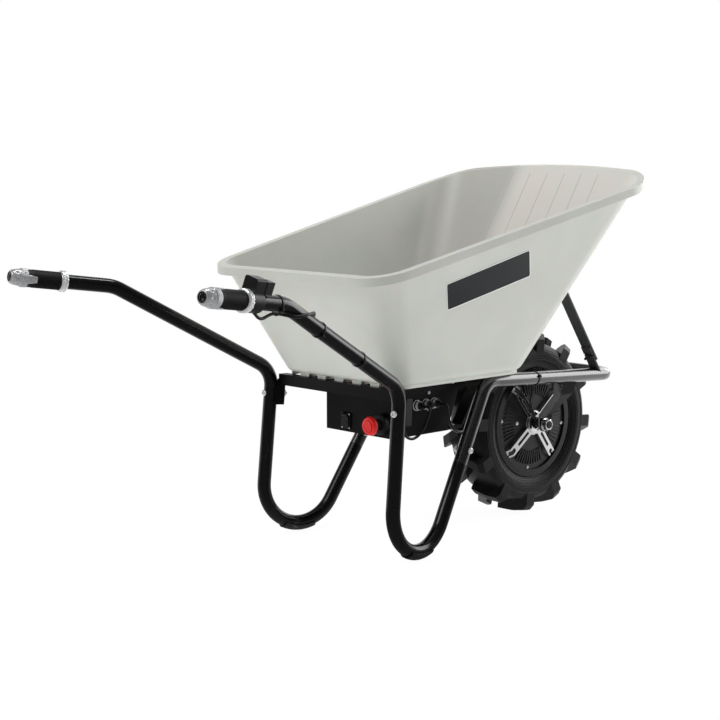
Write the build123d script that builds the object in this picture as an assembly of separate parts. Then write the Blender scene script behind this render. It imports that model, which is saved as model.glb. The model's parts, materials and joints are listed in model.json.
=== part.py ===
from build123d import *
import os
from math import asin, cos, degrees, radians, sin, sqrt, tan

# Electric wheelbarrow, in millimetres. +X points to the wheel, +Y to the user's left, +Z up.
# The origin lies on the ground, under the middle of the whole.

# Tubes of the frame
tube_d = 30.0
tube_wall = 2.0
plug_length = 55.0
plug_clearance = 0.2
plug_shoulder = 3.0
weld_gap = 0.2

# Joint of handle and leg, at the bolt
joint_x = -118.0
joint_y = 198.0
joint_z = 314.0
leg_toe = 0.17
handle_toe = 0.187

# Handles
grip_end_x = -697.55
grip_end_z = 593.5
handle_bend_x = -478.0
handle_bend_z = 564.0
handle_bend_radius = 90.0
elbow_z = 363.5
elbow_radius = 55.0

# Legs
leg_lean = 5.1
leg_top_z = 327.0
strut_lean = 31.4
strut_seam_z = 177.0
strut_bolt_z = 205.0
foot_radius = 93.0
sole_thickness = 3.0
sole_from = -27.0
sole_to = 17.0
sole_wrap = 4.0

# Bumper tube
knee_z = 344.0
knee_radius = 52.0
bumper_front_x = 699.0
bumper_front_z = 311.0
bumper_half_width = 106.0
bumper_corner_radius = 45.0

# Saddle brackets and the deck under the tub
saddle_half_width = 14.0
saddle_depth = 30.0
saddle_wall = 3.0
saddle_below = 24.0
saddle_above = 30.0
saddle_corner = 4.0
deck_z = 357.0
crossbar_x = -97.5
crossbar_width = 20.0
crossbar_height = 24.0
crossbar_wall = 2.0
rail_inner_y = 103.0
rail_width = 28.0
rail_height = 25.0
rail_wall = 3.0
front_bar_x = 238.0
front_bar_width = 34.0
front_bar_thickness = 4.0

# Tub: floor, wall line at the rim, lip
tub_wall = 4.0
floor_rear_x = -102.0
floor_front_x = 305.0
floor_half_width = 180.0
floor_rear_radius = 45.0
floor_front_radius = 70.0
floor_bow = 10.5
floor_fillet = 22.0
rib_count = 7
rib_pitch = 54.0
rib_width = 24.0
rib_depth = 6.0
rib_draft = 4.0
rib_setback = 4.0
flute_count = 6
flute_pitch = 52.0
flute_width = 24.0
flute_depth = 1.8
flute_run_out = 0.4
flute_low = 24.0
flute_short = 14.0
lip_rear_x = -237.0
lip_front_x = 565.0
lip_rear_half = 275.0
lip_front_half = 325.0
lip_rear_radius = 78.0
lip_front_radius = 105.0
lip_bow = 35.0
lip_overhang = 14.0
lip_height = 17.0
lip_wall = 3.0
rim_z = 648.0
rim_slope = 0.229
rim_curl_x = 482.0
rim_curl_radius = 446.0
loft_overshoot = 1.1

tub_bolt_x = (61.0, 160.0, 255.0)
tub_bolt_y = 110.3

# Braces between bumper and tub
brace_width = 30.0
brace_thickness = 4.0
brace_lean = 34.4
brace_foot_x = 623.0
brace_foot_width = 26.0
brace_foot_length = 66.0
brace_lap = 28.0
brace_tab = 42.0
brace_bolt_at = 44.0
brace_slot_length = 20.0
tab_bolt_at = 25.0
strip_bend = 1.2

# Wheel
axle_x = 474.0
axle_z = 210.0
tyre_r = 210.0
carcass_r = 190.0
tyre_half_width = 54.0
tyre_shoulder_half = 47.0
tyre_shoulder_r = 180.0
tyre_bulge_share = 0.54
tyre_wall = 8.0
bead_r = 119.0
bead_height = 8.0
bead_half_width = 44.0
bead_width = 8.0
lug_count = 12
lug_start = -4.5
lug_width = 27.0
lug_tip_width = 19.0
lug_sweep = -38.0
lug_past_middle = 5.0
lug_bevel = 4.0
rim_flange_r = 127.0
rim_flange_wall = 3.0
rim_wall = 5.0
rim_well_r = 106.0
rim_well_half = 20.0
hub_inner_r = 86.0
cover_seat = 37.0
cover_r = 112.0
cover_wall = 5.0
cover_crown = 4.0
cover_screw_circle = 106.0
cover_screw_count = 8
fin_sectors = 4
fins_per_sector = 11
fin_pitch = 5.4
fin_width = 3.2
fin_inner_r = 66.0
fin_outer_r = 98.0
fin_height = 3.0
cover_turn = 7.3
spider_arm_count = 4
spider_arm_width = 21.0
spider_arm_r = 109.0
spider_thickness = 4.0
spider_slot_width = 7.0
spider_slot_from = 32.0
spider_slot_to = 74.5
spider_bend_r = 100.0
spider_face = 53.0
spider_fork_gap = 11.0
boss_r = 27.0
boss_face = 57.0
boss_bore_r = 14.0

# Axle, bearings and motor
axle_r = 10.0
axle_end_r = 8.0
axle_shoulder = 76.0
axle_half_length = 97.0
bearing_r = 23.5
bearing_width = 14.0
bearing_clearance = 0.05
stator_r = 76.0
stator_width = 40.0
stator_slots = 18
stator_slot_depth = 22.0
stator_slot_width = 8.0
magnet_thickness = 9.0
magnet_width = 44.0

# Axle stays
stay_thickness = 5.0
stay_eye_r = 17.0
stay_fold_low = 22.0
stay_fold_high = 25.0
stay_x = 502.0
stay_top_width = 82.0
stay_flange = 22.0
stay_lug_width = 20.0
stay_lug_drop = 24.0
washer_r = 15.0
washer_thickness = 2.5
axle_nut_af = 24.0
axle_nut_height = 11.5

# Battery box
box_rear_x = -42.0
box_front_x = 126.0
box_front_top_x = 167.0
box_bottom_z = 240.0
box_top_z = 350.0
box_half_width = 102.7
box_wall = 2.0
box_bend = 5.0
box_tab_length = 46.0
hanger_y = 86.0
hanger_width = 30.0
hanger_thickness = 4.0
hanger_foot = 28.0
hanger_foot_bolt = 12.6
hanger_top_bolt = 20.4
rail_screw_rear = 24.0
rail_screw_front = 12.0
battery_rear_x = 4.0
battery_length = 118.0
battery_half_width = 80.0
battery_middle_y = 14.0
battery_height = 92.0
controller_rear_x = 8.0
controller_length = 96.0
controller_depth = 26.0
controller_bottom_z = 282.0
controller_height = 56.0
controller_ribs = 6
controller_rib_pitch = 8.0
controller_rib_gap = 4.0
controller_rib_depth = 8.0
controller_screw_at = 59.5
controller_screw_low = 9.0
controller_screw_high = 46.0

# Connectors on the right wall
connector_x = (29.0, 56.0, 80.5)
connector_z = 305.0
connector_thread_r = 6.5
connector_flange_r = 11.0
connector_flange = 2.5
connector_neck_r = 7.5
connector_neck = 6.0
connector_nut_r = 9.0
connector_nut = 14.0
connector_taper_r = 6.5
connector_taper = 15.5
connector_boot_r = 5.5
connector_boot = 19.0
connector_reach = 24.0

# Charge socket on the rear wall
socket_y = 36.0
socket_z = 264.0
socket_width = 27.0
socket_height = 35.0
socket_flange = 3.0
socket_corner = 4.0
socket_r = 9.5
socket_wall = 2.0
socket_depth = 20.0
socket_bore_depth = 15.0
socket_screw_across = 11.2
socket_screw_up = 14.9
socket_screw_r = 1.0
socket_screw_head_r = 1.8
socket_screw_head = 1.2
cap_width = 22.0
cap_height = 23.0
cap_thickness = 3.0
cap_corner = 5.0
cap_margin = 1.0
cap_gap = 0.3
cap_pin_r = 1.5
cap_knuckle_r = 3.0
cap_knuckle_length = 12.0
cap_ear_width = 3.0

# Emergency stop on the rear wall
stop_y = -77.0
stop_z = 270.0
stop_collar_r = 22.0
stop_collar_depth = 16.0
stop_collar_bevel = 3.0
stop_floor = 0.5
stop_spare = 0.5
stop_neck_r = 11.0
stop_plunger_r = 12.0
stop_plunger_length = 27.0
stop_spindle_r = 6.0
stop_spindle_length = 9.0
stop_travel = 4.0
stop_head_r = 20.0
stop_head_depth = 15.0
stop_head_base_r = 15.0
stop_head_edge_low = 4.0
stop_head_edge_high = 9.0
stop_head_shoulder_r = 17.5
stop_head_shoulder = 2.0
stop_dome_r = 12.0
stop_dome_rise = 1.5
stop_block = 34.0
stop_block_depth = 36.0
running_clearance = 0.06

# Grips
grip_length = 104.5
grip_r = 17.8
grip_cap_length = 34.5
grip_cap_r = 18.6
grip_cap_wall = 21.0
grip_cap_nose = 22.0
grip_cap_nose_r = 10.5
grip_cap_cheek_r = 15.5
grip_cap_hole_r = 7.5
dimple_count = 8
dimple_r = 2.6
dimple_at = 14.0
dimple_floor_r = 15.2
tongue_count = 4
tongue_gap = 16.0
tongue_length = 11.0
grip_ring_r = 22.5
grip_ring_width = 14.0
throttle_tube_wall = 1.4
housing_gap = 0.5
housing_r = 21.0
housing_thickness = 28.0
housing_top = 44.0
housing_inboard = 19.0
housing_outboard = 12.0
housing_corner = 5.0
housing_roll = 16.0
gauge_length = 22.0
gauge_top = 41.0
gauge_bottom = 17.0
gauge_inboard = 8.0
gauge_outboard = 13.0
gauge_bevel = 2.0

# Leads and ties
lead_d = 6.0
lead_gap = 0.3
tie_width = 4.0
tie_2_at = 118.0
tie_3_at = 262.0
tie_4_x = 378.0
lead_straight = 22.0
lead_turn = 19.0
lead_side = 44.0
lead_drop = 37.0
lead_fillet_share = 0.45
lead_root = 3.0
lead_exit_drop = 11.0
lead_exit_run = 13.0
tie_thickness = 1.2

# Fasteners
bolt_r = 4.0
bolt_head_r = 7.0
bolt_head_height = 5.0
head_edge_share = 0.55
head_flat_share = 0.6
nut_height = 6.5
small_bolt_r = 3.0
small_head_r = 5.5
small_head_height = 3.0
screw_r = 2.0
screw_head_r = 3.6
screw_head_height = 2.0
hole_clearance = 0.15

tube_r = tube_d / 2
floor_z = deck_z + rib_depth


def mirrored(part):
    return mirror(part, about=Plane.XZ)


def both_sides(part):
    return Compound(children=[*part.solids(), *mirrored(part).solids()])


def group(parts):
    return Compound(children=[solid for part in parts for solid in part.solids()])


def tube(path, r=tube_r, wall=tube_wall):
    section = Plane(origin=path @ 0, z_dir=path % 0) * (Circle(r) - Circle(r - wall))
    return sweep(section, path=path)


def rod(start, end, r):
    direction = Vector(end) - Vector(start)
    return extrude(Plane(origin=start, z_dir=direction) * Circle(r), direction.length)


def turned(points, plane=Plane.XY):
    # A solid of revolution about the plane's normal, from (radius, height) corners.
    return plane * revolve(Plane.XZ * make_face(Polyline(*points, close=True)), Axis.Z)


def hexagon_nut(plane, across_flats, height, bore_r):
    outline = RegularPolygon(across_flats / 2, 6, major_radius=False) - Circle(bore_r)
    return plane * extrude(outline, height)


def bolt(plane, r, length, head_r, head_height):
    # The plane lies on the seat, its normal along the shank. The head stands behind it.
    head = turned([(0, 0), (head_r, 0), (head_r, -head_edge_share * head_height),
                   (head_flat_share * head_r, -head_height), (0, -head_height)])
    return plane * (head + extrude(Circle(r), length))


def clear_hole(plane, r, before, after):
    # A round cutter along the plane's normal.
    return plane * Pos(0, 0, -before) * extrude(Circle(r + hole_clearance), before + after)


def box_between(low, high):
    size = [b - a for a, b in zip(low, high)]
    return Pos(*low) * Box(*size, align=(Align.MIN, Align.MIN, Align.MIN))


# Lines of the leg: the rear tube leans forward, the strut leans further
toe_run = sqrt(1 + leg_toe ** 2)
leg_forward = Vector(1 / toe_run, -leg_toe / toe_run, 0)
leg_outward = Vector(leg_toe / toe_run, 1 / toe_run, 0)
lean_sin, lean_cos = sin(radians(leg_lean)), cos(radians(leg_lean))
strut_sin, strut_cos = sin(radians(strut_lean)), cos(radians(strut_lean))
leg_up = leg_forward * lean_sin + Vector(0, 0, lean_cos)
strut_up = leg_forward * strut_sin + Vector(0, 0, strut_cos)


def leg_point(along, height):
    return Vector(joint_x, joint_y, 0) + leg_forward * along + Vector(0, 0, height)


def rear_leg(height):
    return leg_point((height - joint_z) * tan(radians(leg_lean)), height)


foot_z = foot_radius + tube_r + weld_gap + sole_thickness
heel_z = foot_z + foot_radius * lean_sin
heel = rear_leg(heel_z)
foot_middle = heel + leg_forward * (foot_radius * lean_cos) - Vector(0, 0, heel_z - foot_z)


def foot_point(turn, radius=foot_radius):
    # A point of the foot bend, turned from straight down towards the wheel.
    down = Vector(0, 0, radius * cos(radians(turn)))
    return foot_middle + leg_forward * (radius * sin(radians(turn))) - down


toe_end = foot_point(90 - strut_lean)


def strut(height):
    return toe_end + strut_up * ((height - toe_end.Z) / strut_cos)


strut_seam = strut(strut_seam_z)
knee = strut(knee_z)
front_corner = Vector(bumper_front_x - tube_r, bumper_half_width, bumper_front_z)


def arm(x):
    # A point of the bumper arm's axis on the left side.
    return knee + (front_corner - knee) * ((x - knee.X) / (front_corner.X - knee.X))


# Lines of the handle
def handle_y(x):
    return joint_y - handle_toe * (x - joint_x)


grip_end = Vector(grip_end_x, handle_y(grip_end_x), grip_end_z)
handle_bend = Vector(handle_bend_x, handle_y(handle_bend_x), handle_bend_z)
elbow = rear_leg(elbow_z)
leg_top = rear_leg(leg_top_z)
grip_way = (handle_bend - grip_end).normalized()
slope_way = (elbow - handle_bend).normalized()


def plug(seat, direction):
    # Necked tube end: a shoulder inside the last stretch, rooted in its wall, then the spigot.
    outer = tube_r - tube_wall - plug_clearance
    inner = outer - tube_wall
    root = tube_r - tube_wall / 2
    return turned([(inner, -plug_shoulder), (root, -plug_shoulder), (root, 0), (outer, 0),
                   (outer, plug_length), (inner, plug_length)], Plane(origin=seat, z_dir=direction))


joint_way = leg_forward * lean_cos - Vector(0, 0, lean_sin)
joint_plane = Plane(origin=rear_leg(joint_z), x_dir=leg_outward, z_dir=joint_way)
strut_plane = Plane(origin=strut(strut_bolt_z), x_dir=strut_up, z_dir=-leg_outward)

# Handle tubes
handle_path = FilletPolyline(grip_end + grip_way * grip_cap_wall, handle_bend, elbow, leg_top,
                             radius=[handle_bend_radius, elbow_radius])
joint_hole = clear_hole(joint_plane, bolt_r, tube_d, tube_d)
handle = tube(handle_path) + plug(leg_top, -leg_up) - joint_hole

# Legs
leg_path = (Line(leg_top, heel) + ThreePointArc(heel, foot_point(0), toe_end) + Line(toe_end, strut_seam))
strut_hole = clear_hole(strut_plane, bolt_r, tube_d, tube_d)
leg = tube(leg_path) + plug(strut_seam, strut_up) - joint_hole - strut_hole
sole_path = ThreePointArc(foot_point(sole_from), foot_point((sole_from + sole_to) / 2), foot_point(sole_to))
sole_plane = Plane(origin=sole_path @ 0, x_dir=(sole_path @ 0) - foot_middle, z_dir=sole_path % 0)
sole_section = Circle(tube_r + weld_gap + sole_thickness) - Circle(tube_r + weld_gap)
sole_section -= Pos(sole_wrap - tube_d, 0) * Rectangle(2 * tube_d, 4 * tube_d)
sole = sweep(sole_plane * sole_section, path=sole_path)

# Bumper tube, from strut to strut round the wheel's front
bumper_points = [strut_seam, knee, front_corner]
bumper_points += [Vector(p.X, -p.Y, p.Z) for p in reversed(bumper_points)]
bumper_path = FilletPolyline(*bumper_points,
                             radius=[knee_radius, bumper_corner_radius, bumper_corner_radius, knee_radius])
bumper = tube(bumper_path) - strut_hole - mirrored(strut_hole)
bumper_room = sweep(Plane(origin=bumper_path @ 0, z_dir=bumper_path % 0) * Circle(tube_r + weld_gap),
                    path=bumper_path)

# Saddle brackets between leg and crossbar
saddle_sketch = Pos(saddle_depth / 2, 0) * Rectangle(saddle_depth, 2 * saddle_half_width)
saddle_sketch = fillet(saddle_sketch.vertices().sort_by(Axis.X)[-2:], saddle_corner)
saddle_sketch -= Pos(saddle_depth / 2 - saddle_wall, 0) * Rectangle(
    saddle_depth, 2 * (saddle_half_width - saddle_wall))
leg_frame = Plane(origin=rear_leg(joint_z), x_dir=joint_plane.z_dir, z_dir=leg_up)
saddle_foot = leg_frame * Pos(0, 0, -saddle_below)
saddle = saddle_foot * extrude(saddle_sketch, saddle_below + saddle_above)
saddle -= saddle_foot * extrude(Circle(tube_r + weld_gap), saddle_below + saddle_above)
saddle -= clear_hole(joint_plane, bolt_r, tube_d, 2 * saddle_depth)


def saddle_face_y(x):
    # Inner face of the left saddle.
    return joint_y - leg_toe * (x - joint_x) - saddle_half_width * toe_run


# Rear crossbar, mitred to the saddles
bar_rear = crossbar_x - crossbar_width / 2
bar_front = crossbar_x + crossbar_width / 2
bar_plan = Polyline((bar_rear, saddle_face_y(bar_rear)), (bar_front, saddle_face_y(bar_front)),
                    (bar_front, -saddle_face_y(bar_front)), (bar_rear, -saddle_face_y(bar_rear)), close=True)
rear_crossbar = Pos(0, 0, deck_z - crossbar_height) * extrude(make_face(bar_plan), crossbar_height)
rear_crossbar -= Pos(crossbar_x, 0, deck_z - crossbar_height / 2) * Box(
    crossbar_width - 2 * crossbar_wall, 4 * joint_y, crossbar_height - 2 * crossbar_wall)

# Front crossbar between the bumper arms
front_bar_end = front_bar_x + front_bar_width
front_bar_y = arm(front_bar_x).Y - tube_r / 2
front_bar_end_y = arm(front_bar_end).Y - tube_r / 2
front_plan = Polyline((front_bar_x, front_bar_y), (front_bar_end, front_bar_end_y),
                      (front_bar_end, -front_bar_end_y), (front_bar_x, -front_bar_y), close=True)
front_crossbar = Pos(0, 0, deck_z - front_bar_thickness) * extrude(make_face(front_plan), front_bar_thickness)
front_crossbar -= bumper_room

# Rails
rail_section = Polyline((rail_inner_y, deck_z - rail_height),
                        (rail_inner_y + rail_wall, deck_z - rail_height),
                        (rail_inner_y + rail_wall, deck_z - rail_wall),
                        (rail_inner_y + rail_width, deck_z - rail_wall), (rail_inner_y + rail_width, deck_z),
                        (rail_inner_y, deck_z), close=True)
rail = Plane.YZ.offset(bar_front) * extrude(make_face(rail_section), front_bar_x - bar_front)

# Tub: a ruled loft between the floor and the rim, with lip, floor ribs and front flutes


def rounded_quad(rear_x, front_x, rear_half, front_half, rear_radius, front_radius, bow):
    # Plan outline with a straight rear, tapering sides and a front bowed forward.
    face = make_face([Line((rear_x, rear_half), (rear_x, -rear_half)),
                      Line((rear_x, -rear_half), (front_x, -front_half)),
                      ThreePointArc((front_x, -front_half), (front_x + bow, 0), (front_x, front_half)),
                      Line((front_x, front_half), (rear_x, rear_half))])
    face = fillet(face.vertices().sort_by(Axis.X)[:2], rear_radius)
    return fillet(face.vertices().sort_by(Axis.X)[-2:], front_radius)


floor_quad = (floor_rear_x, floor_front_x, floor_half_width, floor_half_width,
              floor_rear_radius, floor_front_radius, floor_bow)
lip_quad = (lip_rear_x, lip_front_x, lip_rear_half, lip_front_half,
            lip_rear_radius, lip_front_radius, lip_bow)


def inset_quad(quad, inset):
    rear_x, front_x, rear_half, front_half, rear_radius, front_radius, bow = quad
    return (rear_x + inset, front_x - inset, rear_half - inset, front_half - inset,
            rear_radius - inset, front_radius - inset, bow)


def rim_plane_z(x):
    return rim_z + rim_slope * x


wall_quad = inset_quad(lip_quad, lip_overhang)


def wall_quad_at(share):
    # The wall's outline at a share of its height, 0 on the floor and 1 at the rim.
    return tuple(a + share * (b - a) for a, b in zip(floor_quad, wall_quad))


top_quad = wall_quad_at(loft_overshoot)
top_rear_z = floor_z + loft_overshoot * (rim_plane_z(wall_quad[0]) - floor_z)
top_front_z = floor_z + loft_overshoot * (rim_plane_z(wall_quad[1]) - floor_z)
top_slope = (top_front_z - top_rear_z) / (top_quad[1] - top_quad[0])
top_stretch = sqrt(1 + top_slope ** 2)
top_plane = Plane(origin=(0, 0, top_rear_z - top_slope * top_quad[0]), x_dir=(1, 0, top_slope),
                  z_dir=(-top_slope, 0, 1))


def top_face(inset):
    rear_x, front_x, rear_half, front_half, rear_radius, front_radius, bow = inset_quad(top_quad, inset)
    return top_plane * rounded_quad(rear_x * top_stretch, front_x * top_stretch, rear_half, front_half,
                                    rear_radius, front_radius, bow * top_stretch)


wall_flare = (wall_quad[2] - floor_half_width) / (rim_plane_z(wall_quad[0]) - floor_z)
wall_inset = tub_wall * sqrt(1 + wall_flare ** 2)
inner_share = tub_wall / (rim_plane_z(0) - floor_z)
outer_body = loft([Pos(0, 0, floor_z) * rounded_quad(*floor_quad), top_face(0)], ruled=True)
outer_body = fillet(outer_body.faces().sort_by(Axis.Z)[0].edges(), floor_fillet)
inner_floor = inset_quad(wall_quad_at(inner_share), wall_inset)
inner_base = Pos(0, 0, floor_z + tub_wall) * rounded_quad(*inner_floor)
inner_body = loft([inner_base, top_face(wall_inset)], ruled=True)
inner_body = fillet(inner_body.faces().sort_by(Axis.Z)[0].edges(), floor_fillet - tub_wall)

# The rim's line in side view: straight, then curling up towards the front
rim_start_x = lip_rear_x - lip_overhang
rim_curl_turn = degrees(asin((lip_front_x + 2 * lip_bow - rim_curl_x) / rim_curl_radius))


def rim_band(upper, lower):
    # All that lies between two depths below the rim's line.
    edges = []
    ends = []
    for depth in (upper, lower):
        start = (rim_start_x, rim_plane_z(rim_start_x) - depth)
        bend = (rim_curl_x, rim_plane_z(rim_curl_x) - depth)
        curl = JernArc(bend, (1, rim_slope), rim_curl_radius, rim_curl_turn)
        edges += [Line(start, bend), curl]
        ends.append((start, curl @ 1))
    edges += [Line(ends[0][0], ends[1][0]), Line(ends[0][1], ends[1][1])]
    return extrude(Plane.XZ * make_face(edges), 2 * lip_front_half, both=True)


lip_block = Pos(0, 0, deck_z) * extrude(rounded_quad(*lip_quad), 2 * rim_z)
lip_hollow = Pos(0, 0, deck_z) * extrude(rounded_quad(*inset_quad(lip_quad, lip_wall)), 2 * rim_z)
lip = lip_block & rim_band(0, lip_height)
lip -= lip_hollow & rim_band(lip_wall, lip_height + lip_wall)

# Ribs under the floor, grooved inside, and shallow flutes up the inside of the front wall
front_low = Vector(floor_front_x + floor_bow, 0, floor_z)
front_high = Vector(wall_quad[1] + lip_bow, 0, rim_plane_z(wall_quad[1] + lip_bow))
front_way = (front_high - front_low).normalized()
front_out = Vector(front_way.Z, 0, -front_way.X)
front_length = (front_high - front_low).length
front_wall = wall_inset * front_way.Z
# Half widths of the front wall's evenly bowed part, on the floor and at the rim
flat_low = floor_half_width - floor_front_radius
flat_high = wall_quad[3] - wall_quad[5]


def row(count, pitch):
    return [pitch * (i - (count - 1) / 2) for i in range(count)]


def bow_radius(half, bow):
    return (half ** 2 + bow ** 2) / (2 * bow)


def front_point(y, share):
    # A point of the front wall's outer face, which is ruled between the floor's bow and the rim's.
    middle = front_low + (front_high - front_low) * share
    across = y / (flat_low + share * (flat_high - flat_low))
    low_shift = (across * flat_low) ** 2 / (2 * bow_radius(floor_half_width, floor_bow))
    high_shift = (across * flat_high) ** 2 / (2 * bow_radius(wall_quad[3], lip_bow))
    return middle + Vector(-low_shift - share * (high_shift - low_shift), y, 0)


def trapezium(low_half, high_half, low, high):
    return make_face(Polyline((-low_half, low), (low_half, low), (high_half, high), (-high_half, high),
                              close=True))


def floor_ribs(half, low, high, setback):
    # Bars along the floor that stop short of its outline.
    zone = extrude(rounded_quad(*inset_quad(floor_quad, setback)), 2 * floor_z)
    bar = Plane.YZ.offset(floor_rear_x) * extrude(trapezium(half, half + rib_draft, low, high),
                                                  front_low.X - floor_rear_x)
    return [(Pos(0, y, 0) * bar) & zone for y in row(rib_count, rib_pitch)]


def front_flute(y):
    # It starts where the wall is evenly bowed across the whole groove, and runs out towards the rim.
    reach = abs(y) + flute_width / 2 + rib_draft
    start_share = max(flute_low / front_length, (reach - flat_low) / (flat_high - flat_low))
    start = front_point(y, start_share)
    way = front_point(y, 1 - flute_short / front_length) - start
    plane = Plane(origin=start, x_dir=(0, 1, 0), z_dir=way - front_out * (flute_depth - flute_run_out))
    # The plane's second axis points into the tub.
    half = flute_width / 2
    section = trapezium(half, half + rib_draft, front_wall - flute_depth, 2 * front_wall)
    turn = degrees(y / bow_radius(wall_quad[3], lip_bow)) * front_way.Z
    return plane * Rot(0, 0, turn) * extrude(section, way.length)


ribs = floor_ribs(rib_width / 2, deck_z, floor_z + tub_wall, rib_setback)
grooves = floor_ribs(rib_width / 2 - tub_wall, deck_z + tub_wall, floor_z + 1.5 * tub_wall,
                     rib_setback + tub_wall)
grooves += [front_flute(y) for y in row(flute_count, flute_pitch)]
above_rim = rim_band(-rim_z, 0)
tub = (outer_body - above_rim) + lip
tub = tub.fuse(*ribs)
tub = tub.cut(inner_body, *grooves)

# Bolts that hold the tub on the rails and the crossbars
tub_bolt_planes = [Plane(origin=(x, tub_bolt_y, deck_z + tub_wall), z_dir=(0, 0, -1)) for x in tub_bolt_x]
tub_bolt_holes = [clear_hole(p, small_bolt_r, 2 * rib_depth, 3 * rib_depth) for p in tub_bolt_planes]
for hole in tub_bolt_holes:
    tub = tub - hole - mirrored(hole)
    rail -= hole
    front_crossbar = front_crossbar - hole - mirrored(hole)
tub_bolts = both_sides(group([bolt(p, small_bolt_r, 2 * rib_depth + tub_wall, small_head_r, small_head_height)
                              for p in tub_bolt_planes]))

# Frame bolts and nuts
joint_head = joint_plane.offset(-tube_r)
strut_head = strut_plane.offset(-tube_r)
joint_nut = joint_plane.offset(saddle_depth)
strut_nut = strut_plane.offset(tube_r)
frame_bolts = both_sides(group([
    hexagon_nut(joint_nut, 2 * bolt_head_r, nut_height, bolt_r),
    hexagon_nut(strut_nut, 2 * bolt_head_r, nut_height, bolt_r),
    bolt(joint_head, bolt_r, tube_r + saddle_depth + nut_height + bolt_r, bolt_head_r, bolt_head_height),
    bolt(strut_head, bolt_r, tube_d + nut_height + bolt_r, bolt_head_r, bolt_head_height)]))

# Braces from the bumper arms to the tub's front wall
brace_way = Vector(-sin(radians(brace_lean)), 0, cos(radians(brace_lean)))
brace_front = Vector(cos(radians(brace_lean)), 0, sin(radians(brace_lean)))
brace_y = arm(brace_foot_x).Y
brace_low = arm(brace_foot_x) + Vector(0, 0, tube_r)
# The bowed wall meets the brace at its inner edge
bow_shift = front_point(brace_y - brace_width / 2, 0.5) - front_point(0, 0.5)
wall_seat = front_low + front_out * (2 * weld_gap + brace_thickness / 2) + Vector(bow_shift.X, 0, 0)
to_seat = wall_seat - brace_low
brace_length = (to_seat.X * front_way.Z - to_seat.Z * front_way.X) / (
    brace_way.X * front_way.Z - brace_way.Z * front_way.X)
brace_top = brace_low + brace_way * brace_length


def strip(points, thickness, width, y):
    # A flat bar bent in side view: a line of (x, z) points, given thickness and width.
    line = FilletPolyline(*points, radius=strip_bend * thickness) if len(points) > 2 else Line(*points)
    band = trace(line, line_width=thickness)
    return Pos(0, y, 0) * extrude(Plane.XZ * band, width / 2, both=True)


def side(v):
    return (v.X, v.Z)


brace_tab_end = brace_top + front_way * brace_tab
brace = strip([side(brace_low + brace_way * brace_lap), side(brace_top), side(brace_tab_end)],
              brace_thickness, brace_width, brace_y)
foot_low = brace_low - brace_front * (brace_thickness + weld_gap)
brace_foot = strip([side(foot_low - brace_way * tube_r), side(foot_low + brace_way * brace_foot_length)],
                   brace_thickness, brace_foot_width, brace_y) - bumper_room
brace_bolt_plane = Plane(origin=brace_low + brace_way * brace_bolt_at + brace_front * (brace_thickness / 2),
                         z_dir=-brace_front)
tab_bolt_plane = Plane(origin=brace_top + front_way * tab_bolt_at + front_out * (brace_thickness / 2),
                       z_dir=-front_out)
slot_outline = SlotCenterToCenter(brace_slot_length, 2 * (small_bolt_r + hole_clearance), rotation=90)
brace_slot = brace_bolt_plane * extrude(slot_outline, 4 * brace_thickness)
brace_hole = clear_hole(brace_bolt_plane, small_bolt_r, brace_thickness, 4 * brace_thickness)
tab_hole = clear_hole(tab_bolt_plane, small_bolt_r, brace_thickness, 4 * brace_thickness + tub_wall)
brace = brace - brace_hole - tab_hole
brace_foot -= brace_slot
tub = tub - tab_hole - mirrored(tab_hole)
brace_bolts = both_sides(group([
    bolt(brace_bolt_plane, small_bolt_r, 6 * brace_thickness, small_head_r, small_head_height),
    bolt(tab_bolt_plane, small_bolt_r, 4 * brace_thickness, small_head_r, small_head_height),
    hexagon_nut(brace_bolt_plane.offset(2 * brace_thickness + weld_gap), 2 * small_head_r,
                2 * small_head_height, small_bolt_r)]))

# Wheel pieces are turned about their own axis, then set on the axle
wheel_at = Plane(origin=(axle_x, 0, axle_z), x_dir=(1, 0, 0), z_dir=(0, 1, 0))


def on_wheel(part):
    # From a wheel modelled about +Z, right side below, to the axle along +Y.
    return wheel_at * part


# Tyre: carcass section swept round, with chevron lugs on both sides
tyre_bulge_r = bead_r + tyre_bulge_share * (tyre_shoulder_r - bead_r)
bulge = (tyre_half_width, tyre_bulge_r)
section_half = [Line((bead_half_width - bead_width, bead_r), (bead_half_width, bead_r)),
                Line((bead_half_width, bead_r), (bead_half_width, bead_r + bead_height))]
outer_side = ThreePointArc((bead_half_width, bead_r + bead_height), bulge,
                           (tyre_shoulder_half, tyre_shoulder_r))
inner_side = ThreePointArc((bead_half_width - bead_width, bead_r),
                           (tyre_half_width - tyre_wall, tyre_bulge_r),
                           (tyre_shoulder_half - tyre_wall, tyre_shoulder_r - tyre_wall))
half_edges = section_half + [outer_side, inner_side]
mirrored_edges = [mirror(edge, about=Plane.YZ) for edge in half_edges]
crown = ThreePointArc((tyre_shoulder_half, tyre_shoulder_r), (0, carcass_r),
                      (-tyre_shoulder_half, tyre_shoulder_r))
ceiling_half = tyre_shoulder_half - tyre_wall
ceiling = ThreePointArc((ceiling_half, tyre_shoulder_r - tyre_wall), (0, carcass_r - tyre_wall),
                        (-ceiling_half, tyre_shoulder_r - tyre_wall))
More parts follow.
